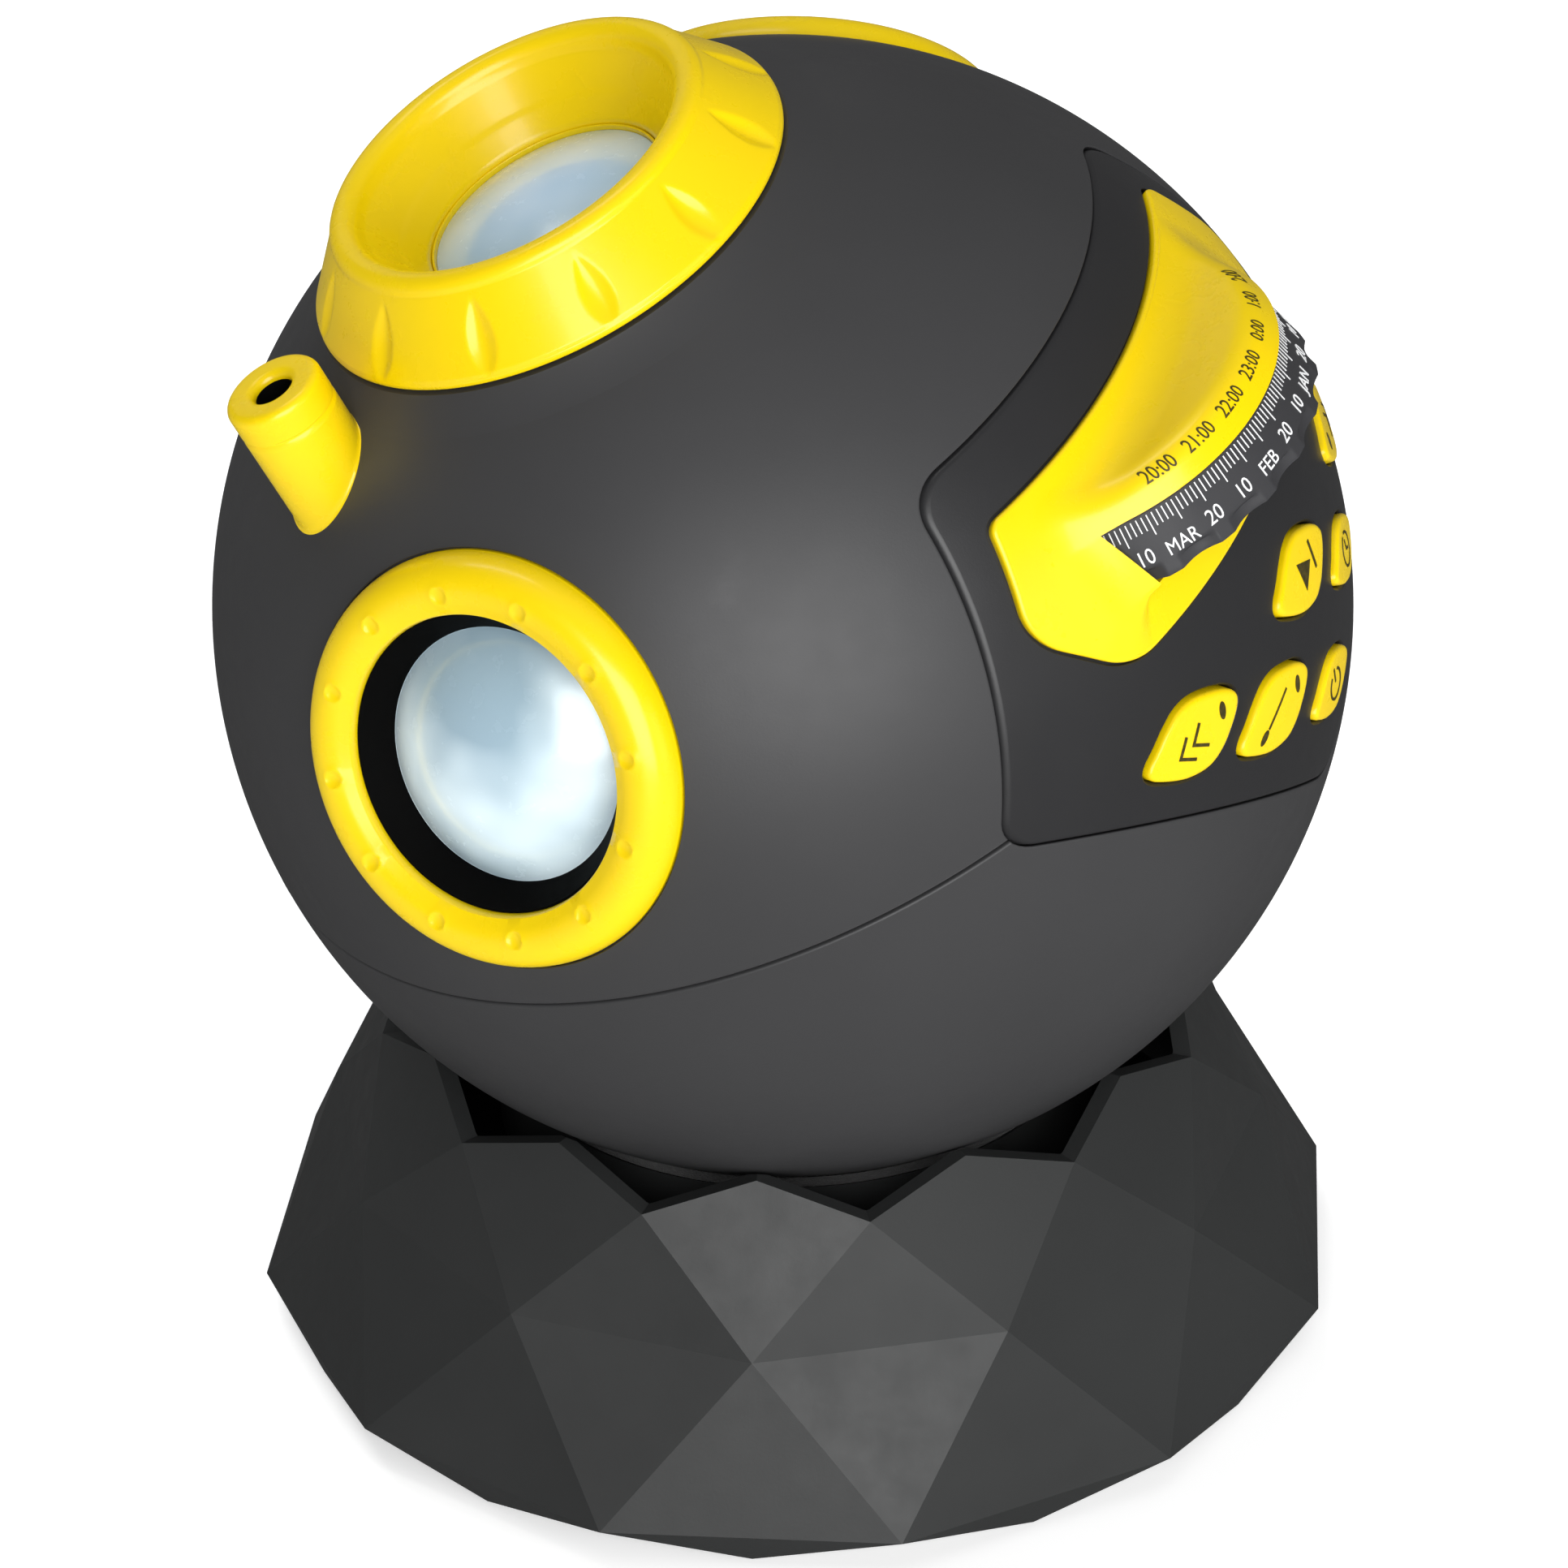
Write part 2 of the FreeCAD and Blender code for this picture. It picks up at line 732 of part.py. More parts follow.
    rest = d.towerTop + d.seatGap
    skirt = rest - d.seatSkirt
    tower_in = d.towerRadius - d.towerWall - d.seatGap
    tower_out = d.towerRadius + d.seatGap
    seat = turned("seat_ring_body", [
        (d.seatInner, skirt), (tower_in, skirt), (tower_in, rest), (tower_out, rest), (tower_out, skirt),
        (d.seatOuter, skirt), (d.seatOuter, under_ball(bed, d.seatOuter)),
        (d.seatInner, under_ball(bed, d.seatInner))], arcs={6: (bed, 1)})
    node("seat_ring", seat, ROW)
    felt_in = d.seatInner + 1.0
    felt_out = d.seatOuter - 1.0
    felt = turned("seat_felt_body", [
        (felt_in, under_ball(felt_outer, felt_in)), (felt_out, under_ball(felt_outer, felt_out)),
        (felt_out, under_ball(felt_inner, felt_out)), (felt_in, under_ball(felt_inner, felt_in))],
        arcs={0: (felt_outer, -1), 2: (felt_inner, 1)})
    node("seat_felt", felt, ROW)


# --- shapes that several pieces share -----------------------------------------

def rolled(obj):
    # the panel, its visor and its buttons are turned a little about the ball's X axis
    obj.Placement = Placement(Vector(0, 0, 0), Rotation(Vector(1, 0, 0), d.panelRoll.value))
    return obj


def panel_prism(label, grow):
    corners = [(d.panelTopHalf + grow, d.panelTop + grow), (d.panelHalf + grow, d.panelShoulder),
               (as_size(0), d.panelTip - grow)]
    rounds = [d.panelTopRound + grow, d.panelSideRound + grow, d.panelTipRound + grow]
    return rolled(rounded_prism(label, corners, rounds, d.ballRadius * 0.3, d.ballRadius, "YZ_Plane"))


def visor_prism(label, grow):
    corners = [(d.visorTopHalf + grow, d.visorTop + grow), (d.visorSideHalf + grow, d.visorSide),
               (d.visorBottomHalf + grow, d.visorBottom - grow)]
    rounds = [d.visorCornerRound + grow, d.visorSideRound + grow, d.visorFootRound + grow]
    return rolled(rounded_prism(label, corners, rounds, d.ballRadius * 0.5, d.ballRadius, "YZ_Plane"))


BUTTONS = {
    # place of each button on the panel, across and up in the panel's outline plane, and its size
    "button_back": (-33.3, -2.2, as_size(1.0)),
    "button_play": (-0.9, -1.6, as_size(1.0)),
    "button_forward": (33.0, -2.2, as_size(1.0)),
    "button_pointer": (-18.0, -12.2, as_size(1.0)),
    "button_timer": (15.6, -12.2, d.smallButton),
    "button_power": (-1.2, -22.8, d.smallButton),
}


def button_frame(across, up):
    # Z points out of the ball under this place of the panel's outline
    forward = math.sqrt(d.ballRadius.value ** 2 - across ** 2 - up ** 2)
    azimuth = math.degrees(math.atan2(across, forward))
    polar = math.degrees(math.acos(up / d.ballRadius.value))
    quarter = Placement(Vector(0, 0, 0), Rotation(Vector(0, 0, 1), 90))
    roll = Placement(Vector(0, 0, 0), Rotation(Vector(1, 0, 0), d.panelRoll.value))
    return roll.multiply(outward(azimuth, polar)).multiply(quarter)


def leaf_prism(label, share, grow, bottom, length):
    # a leaf: two arcs that meet in rounded tips, wide across and low
    half = d.buttonWidth / 2 * share + grow
    rise = d.buttonHeight / 2 * share + grow
    radius = (half * half + rise * rise) / (2 * rise)
    body = padded(label, [(-half, 0), (half, 0)], bottom, length, arcs={0: (radius, -1), 1: (radius, -1)})
    round_upright_edges(body, f"{label}_tips", d.buttonTipRound + grow, lambda point: True)
    return body


# --- the ball's shells ----------------------------------------------------------

def port_frame(side):
    return outward(side * d.portAzimuth.value, d.portPolar.value)


def seam_bosses(label, radius, bottom, top):
    bosses = []
    for i, azimuth in enumerate(seam_azimuths):
        x, y = math.cos(math.radians(azimuth)), math.sin(math.radians(azimuth))
        bosses.append(cylinder(f"{label}{i}", radius, bottom, top, d.seamScrewCircle * x,
                               d.seamScrewCircle * y))
    return bosses


def seam_bores(label, radius, bottom, top):
    bores = []
    for i, azimuth in enumerate(seam_azimuths):
        x, y = math.cos(math.radians(azimuth)), math.sin(math.radians(azimuth))
        bores.append(cylinder(f"{label}{i}", radius, bottom, top, d.seamScrewCircle * x,
                              d.seamScrewCircle * y))
    return bores


def build_main_housing():
    inside = ball("housing_inside", d.ballRadius - d.shellWall / 2)
    shell = hollow_ball("housing_skin", d.ballRadius, shell_inner)
    # a flat deck under the focus ring, with the collar that it turns on
    deck = cylinder("housing_deck", d.focusBaseRadius + d.grooveWidth, d.deckHeight - d.deckThickness,
                    d.deckHeight)
    plinth = cylinder("housing_plinth", d.focusBaseRadius - d.plinthInset, d.deckHeight - d.deckThickness,
                      d.focusBaseHeight - d.plinthGap)
    collar = cylinder("housing_collar", d.collarRadius, d.deckHeight - d.deckThickness, d.collarTop)
    collar_room = cylinder("housing_collar_room", d.collarRadius - d.collarWall, d.deckHeight, far_out)
    above_deck = cylinder("housing_above_deck", d.focusBaseRadius + d.grooveWidth, d.deckHeight, far_out)
    solid = cut("housing_dished", shell, above_deck)
    solid = fuse("housing_decked", solid, deck, cut("housing_collared", fuse("collar_set", plinth, collar),
                                                    collar_room))
    # a tongue inside the seam locates the lower dome
    tongue = common("housing_tongue", hollow_ball("tongue_skin", shell_inner - d.partGap, shell_inner - 2.2),
                    cylinder("tongue_slab", far_out, d.seamHeight - 4.0, d.seamHeight + 5.0))
    tie = common("housing_tie", hollow_ball("tie_skin", shell_inner + 0.2, shell_inner - 2.2),
                 cylinder("tie_slab", far_out, d.seamHeight + 0.01, d.seamHeight + 5.0))
    # posts that the optics frame hangs from, and bosses over the seam screws
    posts = []
    post_bores = []
    for i in range(4):
        angle = math.radians(d.bossAngle.value + 90 * i)
        x, y = math.cos(angle), math.sin(angle)
        posts.append(cylinder(f"housing_post{i}", d.bossRadius, d.frameBottom + d.frameThickness,
                              d.ballRadius, d.bossCircle * x, d.bossCircle * y))
        post_bores.append(cylinder(f"housing_bore{i}", d.screwRadius + d.threadGap,
                                   d.frameBottom, d.frameBottom + d.frameThickness + 10.0,
                                   d.bossCircle * x, d.bossCircle * y))
    bosses = seam_bosses("housing_boss", d.bossRadius, d.seamHeight, d.ballRadius)
    struts = common("housing_struts", fuse("housing_strut_set", posts[0], *posts[1:], *bosses), inside)
    below = cylinder("housing_below", far_out, -far_out, d.seamHeight)
    solid = cut("housing_upper", solid, below)
    solid = fuse("housing_joined", solid, struts, tie, tongue)
    openings = [cylinder("housing_throat", d.barrelRadius + d.sleeveWall + d.runningGap + d.partGap,
                         d.sleeveBottom, far_out),
                panel_prism("housing_panel_hole", d.partGap)]
    for side, name in ((-1, "left"), (1, "right")):
        frame = port_frame(side)
        openings.append(cylinder(f"housing_port_{name}", d.portHole, d.portSeat - 10.0, far_out, frame=frame))
        openings.append(cylinder(f"housing_port_seat_{name}", d.portOuter + d.partGap, d.portSeat, far_out,
                                 frame=frame))
    tube = shifted(0, 0, d.tubeAzimuth.value)
    openings.append(cylinder("housing_tube_hole", d.spigotRadius + d.runningGap, d.spigotBottom, far_out,
                             x=d.tubeOffset, frame=tube))
    solid = cut("housing_opened", solid, *openings, *post_bores,
                *seam_bores("housing_seam_bore", d.screwRadius + d.threadGap, d.seamHeight - 1,
                            d.seamHeight + 10.0))
    node("main_housing", solid, BALL)


def build_lower_dome():
    shell = hollow_ball("dome_skin", d.ballRadius, shell_inner)
    rim = d.seamHeight - d.seamGap
    well = d.screwHeadRadius + d.partGap
    bosses = fuse("dome_boss_set", *seam_bosses("dome_boss", well + d.wellWall, -d.ballRadius, rim))
    inside = ball("dome_inside", d.ballRadius - d.shellWall / 2)
    solid = fuse("dome_bossed", shell, common("dome_bosses", bosses, inside))
    above = cylinder("dome_above", far_out, rim, far_out)
    wells = seam_bores("dome_well", well, -far_out,
                       d.seamHeight - d.seamScrewLength / 2)
    holes = seam_bores("dome_hole", d.screwRadius + d.partGap, -d.ballRadius, d.seamHeight)
    hole = rounded_prism("dome_door_hole",
                         [(d.doorHalfX, d.doorHalfY), (d.doorHalfX, -d.doorHalfY)],
                         [d.doorRound, d.doorRound], -far_out, far_out + d.cellHeight - 6.0, "XY_Plane")
    jack = cylinder("dome_jack_hole", d.jackRadius + d.threadGap, d.ballRadius - 20.0, far_out,
                    frame=outward(d.jackAzimuth.value, d.jackPolar.value))
    solid = cut("dome_opened", solid, above, panel_prism("dome_panel_hole", d.partGap), hole, jack,
                *wells, *holes)
    node("lower_dome", solid, BALL)

    skin = hollow_ball("door_skin", d.ballRadius, shell_inner)
    door = rounded_prism("door_prism",
                         [(d.doorHalfX - d.partGap, d.doorHalfY - d.partGap),
                          (d.doorHalfX - d.partGap, -(d.doorHalfY - d.partGap))],
                         [d.doorRound, d.doorRound], -far_out, far_out + d.cellHeight, "XY_Plane")
    node("battery_door", common("door_cut", skin, door), BALL)

    screws("seam_screws", 3, 0.0, d.seamScrewCircle.value, seam_azimuths[0], 62.0,
           d.seamHeight + 8.0, d.seamHeight - d.seamScrewLength / 2, BALL)


def build_battery_pack():
    # three cells side by side in an open tray, with a contact plate at each end
    half_x = d.cellPitch + d.cellRadius + d.boxClearance
    half_y = d.cellLength / 2 + d.contactThickness + d.boxClearance
    tray_top = d.cellHeight + d.cellRadius + d.boxClearance
    tray_bottom = d.cellHeight - d.cellRadius * 0.6
    tray = box("tray_block", (-half_x - d.boxWall, -half_y - d.boxWall, tray_bottom),
               (half_x + d.boxWall, half_y + d.boxWall, tray_top + d.boxWall))
    room = box("tray_room", (-half_x, -half_y, tray_bottom - 1), (half_x, half_y, tray_top))
    ears = box("tray_ears", (-half_x - d.boxWall - 4.0, -half_y * 0.4, tray_top),
               (half_x + d.boxWall + 4.0, half_y * 0.4, tray_top + d.boxWall))
    legs = []
    near = half_x + d.boxWall + 0.5
    for name, left, right in (("a", -near - 3.0, -near), ("b", near, near + 3.0)):
        legs.append(box(f"tray_leg_{name}", (left, -half_y * 0.4, -d.ballRadius),
                        (right, half_y * 0.4, tray_top + 0.2)))
    legs = common("tray_legs", fuse("tray_leg_pair", *legs), ball("tray_reach", shell_inner - d.threadGap))
    node("battery_tray", fuse("tray", cut("tray_shell", tray, room), ears, legs), BALL)

    cell = turned("cell_master", [
        (0, 0), (d.cellRadius - 0.6, 0), (d.cellRadius, 0.6), (d.cellRadius, d.cellLength - 2.2),
        (d.cellRadius - 0.8, d.cellLength - 1.4), (2.7, d.cellLength - 1.4), (2.7, d.cellLength),
        (0, d.cellLength)])
    doc.recompute()
    cells = []
    for i, sign in ((-1, 1), (0, -1), (1, 1)):
        turn = Rotation(Vector(1, 0, 0), -90 * sign)
        place = Vector(d.cellPitch.value * i, -sign * d.cellLength.value / 2, d.cellHeight.value)
        cells.append(placed_copy(f"cell_{i + 2}", cell, Placement(place, turn)))
    node("batteries", group("batteries_group", cells), BALL)

    plates = []
    for sign, name in ((-1, "rear"), (1, "front")):
        near = half_y - d.contactThickness
        low = near if sign > 0 else -half_y
        for i in (-1, 0, 1):
            plates.append(box(f"contact_{name}{i}",
                              (d.cellPitch * i - 5.0, low, d.cellHeight - 3.5),
                              (d.cellPitch * i + 5.0, low + d.contactThickness, d.cellHeight + 4.5)))
    node("battery_contacts", group("battery_contacts_group", plates), BALL)

    jack = turned("dc_jack_body", [
        (d.jackBore, d.ballRadius - d.jackLength + 2.0), (0, d.ballRadius - d.jackLength + 2.0),
        (0, d.ballRadius - d.jackLength), (d.jackRadius, d.ballRadius - d.jackLength),
        (d.jackRadius, d.ballRadius - 0.3), (d.jackBore, d.ballRadius - 0.3)])
    node("dc_jack", jack, BALL.multiply(outward(d.jackAzimuth.value, d.jackPolar.value)))


# --- the lens train ---------------------------------------------------------------

def build_focus_ring():
    # A cone outside, a funnel inside, with scooped grips round the cone and a slot
    # underneath for the collar that it turns on.
    lip_under = d.focusThroatHeight - d.focusLip
    bore = d.collarRadius + d.runningGap
    inner_wall = d.collarRadius - d.collarWall - d.partGap
    slot_top = d.collarTop + d.partGap
    crest = d.focusCrestHeight
    ring = turned("focus_ring_body", [
        (bore, d.focusBaseHeight), (d.focusBaseRadius - 0.5, d.focusBaseHeight),
        (d.focusBaseRadius, d.focusBaseHeight + 0.8), (d.focusCrestRadius, crest),
        (d.focusCrestRadius - d.focusLipRound, crest + 0.7),
        (d.focusMouthRadius + d.focusLipRound, crest + 0.7),
        (d.focusMouthRadius, crest), (d.focusThroatRadius, d.focusThroatHeight),
        (d.focusThroatRadius, lip_under), (inner_wall, lip_under), (inner_wall, slot_top), (bore, slot_top)],
        arcs={3: (d.focusLipRound * 1.3, -1), 5: (d.focusLipRound * 1.3, -1)})
    doc.recompute()
    # each grip is a slim cone laid along the ring's outside, widest at the base
    run = math.hypot(d.focusBaseRadius.value - d.focusCrestRadius.value,
                     d.focusCrestHeight.value - d.focusBaseHeight.value)
    slope = math.degrees(math.atan2(d.focusBaseRadius.value - d.focusCrestRadius.value,
                                    d.focusCrestHeight.value - d.focusBaseHeight.value))
    stand_off = d.notchRadius.value - d.notchDepth.value
    normal = Vector(math.cos(math.radians(slope)), 0, math.sin(math.radians(slope)))
    start = Vector(d.focusBaseRadius.value, 0, d.focusBaseHeight.value) + normal * stand_off
    notch = ring.newObject("PartDesign::SubtractiveCone", "focus_notch")
    bind(notch, Radius1=d.notchRadius, Radius2=as_size(0.2))
    notch.Height = run * d.notchReach.value
    lean = math.degrees(math.atan2(stand_off, run * d.notchReach.value))
    notch.Placement = Placement(start, Rotation(Vector(0, 1, 0), -slope - lean))
    ring.Tip = notch
    repeat_around(ring, notch, "focus_notches", d.focusNotches)
    return ring


def lens_sag(curve, radius):
    return curve - height_on_ball(curve, radius)


def build_lens_train():
    node("focus_ring", build_focus_ring(), BALL.multiply(shifted(0, 0, -51.0)))

    inner = d.barrelRadius - d.barrelWall
    seat = d.barrelTop - d.retainerHeight - d.frontLensEdge
    rear_seat = d.rearLensHeight
    barrel = turned("lens_barrel_body", [
        (d.rearLensRadius - 1.0, d.barrelBottom), (d.barrelRadius, d.barrelBottom),
        (d.barrelRadius, d.barrelTop), (inner, d.barrelTop), (inner, seat),
        (inner - 1.5, seat), (inner - 1.5, rear_seat + 8.0),
        (d.rearLensRadius + d.runningGap, rear_seat + 8.0), (d.rearLensRadius + d.runningGap, rear_seat),
        (d.rearLensRadius - 1.0, rear_seat)])
    node("lens_barrel", barrel, BALL)

    lens_radius = inner - d.runningGap
    top = seat + d.frontLensEdge
    front = turned("front_lens_body", [
        (0, seat), (lens_radius, seat), (lens_radius, top),
        (0, top + lens_sag(d.frontLensCurve, lens_radius))], arcs={2: (d.frontLensCurve, -1)})
    node("front_lens", front, BALL)

    retainer = turned("lens_retainer_body", [
        (inner - d.retainerWidth, top + 0.25), (inner - d.runningGap, top + 0.02),
        (inner - d.runningGap, d.barrelTop), (inner - d.retainerWidth, d.barrelTop)])
    lens_centre = top + lens_sag(d.frontLensCurve, lens_radius) - d.frontLensCurve
    lens_face = primitive("Sphere", "retainer_ball", at=(0, 0, lens_centre), Radius=d.frontLensCurve + 0.02)
    node("lens_retainer", cut("lens_retainer_seat", retainer, lens_face), BALL)

    rear_sag = lens_sag(d.rearLensCurve, d.rearLensRadius)
    rear = turned("rear_lens_body", [
        (0, rear_seat), (d.rearLensRadius, rear_seat), (d.rearLensRadius, rear_seat + 2.0),
        (0, rear_seat + 2.0 + rear_sag)], arcs={2: (d.rearLensCurve, -1)})
    node("rear_lens", rear, BALL)

    bore = d.barrelRadius + d.runningGap
    outer = bore + d.sleeveWall
    flange_top = d.deckHeight - d.deckThickness
    sleeve = turned("lens_sleeve_body", [
        (bore, d.sleeveBottom), (outer, d.sleeveBottom), (outer, flange_top - d.sleeveFlangeThickness),
        (d.sleeveFlange, flange_top - d.sleeveFlangeThickness), (d.sleeveFlange, flange_top),
        (outer, flange_top), (outer, d.deckHeight), (bore, d.deckHeight)])
    holes = []
    for i in range(3):
        angle = math.radians(120 * i + 60)
        holes.append(cylinder(f"sleeve_hole{i}", d.screwRadius + d.threadGap,
                              flange_top - d.sleeveFlangeThickness - 1, flange_top + 1,
                              (outer + d.sleeveFlange) / 2 * math.cos(angle),
                              (outer + d.sleeveFlange) / 2 * math.sin(angle)))
    node("lens_sleeve", cut("lens_sleeve", sleeve, *holes), BALL)


def build_shooting_star_tube():
    axis = shifted(0, 0, d.tubeAzimuth.value)
    nozzle_bottom = d.tubeMouth - d.nozzleLength
    # the outer tube stands on the ball's skin; its spigot goes through the shell
    outer = cylinder("tube_outer", d.tubeRadius, d.spigotBottom, nozzle_bottom, x=d.tubeOffset)
    outer = cut("tube_foot", outer, ball("tube_saddle", d.ballRadius))
    spigot = cylinder("tube_spigot", d.spigotRadius, d.spigotBottom, nozzle_bottom, x=d.tubeOffset)
    bore = cylinder("tube_bore", d.tubeBore, d.spigotBottom - 1, far_out, x=d.tubeOffset)
    node("star_tube", cut("tube_bored", fuse("tube_whole", outer, spigot), bore), BALL.multiply(axis))

    lens_bottom = nozzle_bottom - d.tubeLensThickness
    lens_edge = d.tubeBore - d.runningGap
    nozzle = turned("star_nozzle_body", [
        (d.tubeBore - 0.2, nozzle_bottom), (d.tubeRadius - 0.15, nozzle_bottom),
        (d.tubeRadius - 0.15, nozzle_bottom + 0.3), (d.tubeRadius, nozzle_bottom + 0.4),
        (d.tubeRadius, d.tubeMouth - d.nozzleRound), (d.tubeRadius - d.nozzleRound, d.tubeMouth),
        (d.nozzleBore + d.nozzleRound, d.tubeMouth), (d.nozzleBore, d.tubeMouth - d.nozzleRound),
        (d.nozzleBore, nozzle_bottom + 1.0), (d.tubeBore - 0.2, nozzle_bottom + 0.6)],
        arcs={4: (d.nozzleRound, -1), 6: (d.nozzleRound, -1)})
    place = BALL.multiply(axis).multiply(Placement(Vector(d.tubeOffset.value, 0, 0), Rotation()))
    node("star_nozzle", nozzle, place)
    lens = turned("star_tube_lens_body", [
        (0, lens_bottom), (lens_edge, lens_bottom), (lens_edge, lens_bottom + 1.2),
        (0, lens_bottom + 1.2 + lens_sag(d.tubeLensCurve, lens_edge))], arcs={2: (d.tubeLensCurve, -1)})
    node("star_tube_lens", lens, place)
    lamp_bottom = d.spigotBottom
    lamp = turned("star_tube_lamp_body", [
        (0, lamp_bottom), (lens_edge, lamp_bottom), (lens_edge, lamp_bottom + 1.6),
        (d.tubeLampRadius, lamp_bottom + 1.6), (d.tubeLampRadius, lamp_bottom + 4.0),
        (0, lamp_bottom + 4.0 + d.tubeLampRadius)], arcs={4: (d.tubeLampRadius, -1)})
    node("star_tube_lamp", lamp, place)


# --- the side windows ------------------------------------------------------------

def build_port(side, name):
    place = BALL.multiply(port_frame(side))
    # a rounded collar on the ball, with a spigot through the shell
    spigot = d.portHole - d.partGap
    skin = height_on_ball(d.ballRadius, d.portOuter)
    ring = turned(f"port_ring_{name}_body", [
        (spigot - d.portSpigotWall, d.portSeat - d.portSpigot), (spigot, d.portSeat - d.portSpigot),
        (spigot, d.portSeat), (d.portOuter, d.portSeat), (d.portOuter, skin),
        (d.portCrestRadius, d.portCrest), (d.portInner + 1.2, d.portCrest - 0.6),
        (d.portInner, d.portCrest - 2.0), (d.portInner, d.portCrest - 4.4),
        (spigot - d.portSpigotWall, d.portSeat)],
        arcs={4: (as_size(6.2), -1), 5: (as_size(6.2), -1), 6: (as_size(1.7), -1)})
    doc.recompute()
    dimple = ring.newObject("PartDesign::SubtractiveSphere", f"port_dimple_{name}")
    bind(dimple, Radius=d.dimpleRadius)
    dimple.Placement = Placement(Vector(d.dimpleCircle.value, 0, 0), Rotation())
    dimple.setExpression("Placement.Base.x", d.dimpleCircle.formula)
    dimple.setExpression("Placement.Base.z", (d.portCrest + d.dimpleRadius - d.dimpleDepth).formula)
    ring.Tip = dimple
    repeat_around(ring, dimple, f"port_dimples_{name}", d.portDimples)
    node(f"port_ring_{name}", ring, place)

    # the dark bezel narrows to the lens and runs back as the lamp's cup
    bezel_top = d.portCrest - 4.8
    collar = spigot - d.portSpigotWall - d.threadGap
    cup = turned(f"port_bezel_{name}_body", [
        (d.cupRadius - d.cupWall, d.cupBottom), (d.cupRadius, d.cupBottom),
        (d.cupRadius, d.bezelLip - 2.0), (collar, d.bezelLip - 2.0), (collar, d.bezelLip),
        (d.cupRadius, d.bezelLip), (d.cupRadius, bezel_top - 1.0), (d.cupRadius - 0.3, bezel_top),
        (d.bezelThroat, d.bezelLip + 0.6),
        (d.bezelThroat, d.bezelLip), (d.cupRadius - d.cupWall, d.bezelLip)])
    node(f"port_bezel_{name}", cup, place)

    edge = d.cupRadius - d.cupWall - d.runningGap
    top = d.bezelLip - 0.1
    lens = turned(f"port_lens_{name}_body", [
        (0, top - d.portLensEdge - 1.0), (edge, top - d.portLensEdge), (edge, top),
        (d.bezelThroat - 0.2, top), (0, top + lens_sag(d.portLensCurve, d.bezelThroat - 0.2))],
        arcs={3: (d.portLensCurve, -1)})
    node(f"port_lens_{name}", lens, place)

    board_top = d.cupBottom + d.portBoardThickness
    lamp = turned(f"port_lamp_{name}_body", [
        (0, d.cupBottom), (edge, d.cupBottom), (edge, board_top), (d.ledRadius, board_top),
        (d.ledRadius, board_top + d.ledHeight - d.ledRadius), (0, board_top + d.ledHeight)],
        arcs={4: (d.ledRadius, -1)})
    node(f"port_lamp_{name}", lamp, place)


# --- the control panel -------------------------------------------------------------

def dial_swept(label, gap):
    # the room that the dial's rim turns in
    return cylinder(label, d.dialBottomRadius + gap, d.dialBottom - gap, d.dialTop + d.brimGap,
                    x=dial_centre)


def button_holes():
    holes = []
    for name, (across, up, share) in BUTTONS.items():
        hole = leaf_prism(f"panel_hole_{name}", share, d.buttonGap, d.flangeTop - 6, as_size(20.0))
        hole.Placement = button_frame(across, up)
        holes.append(hole)
    return holes


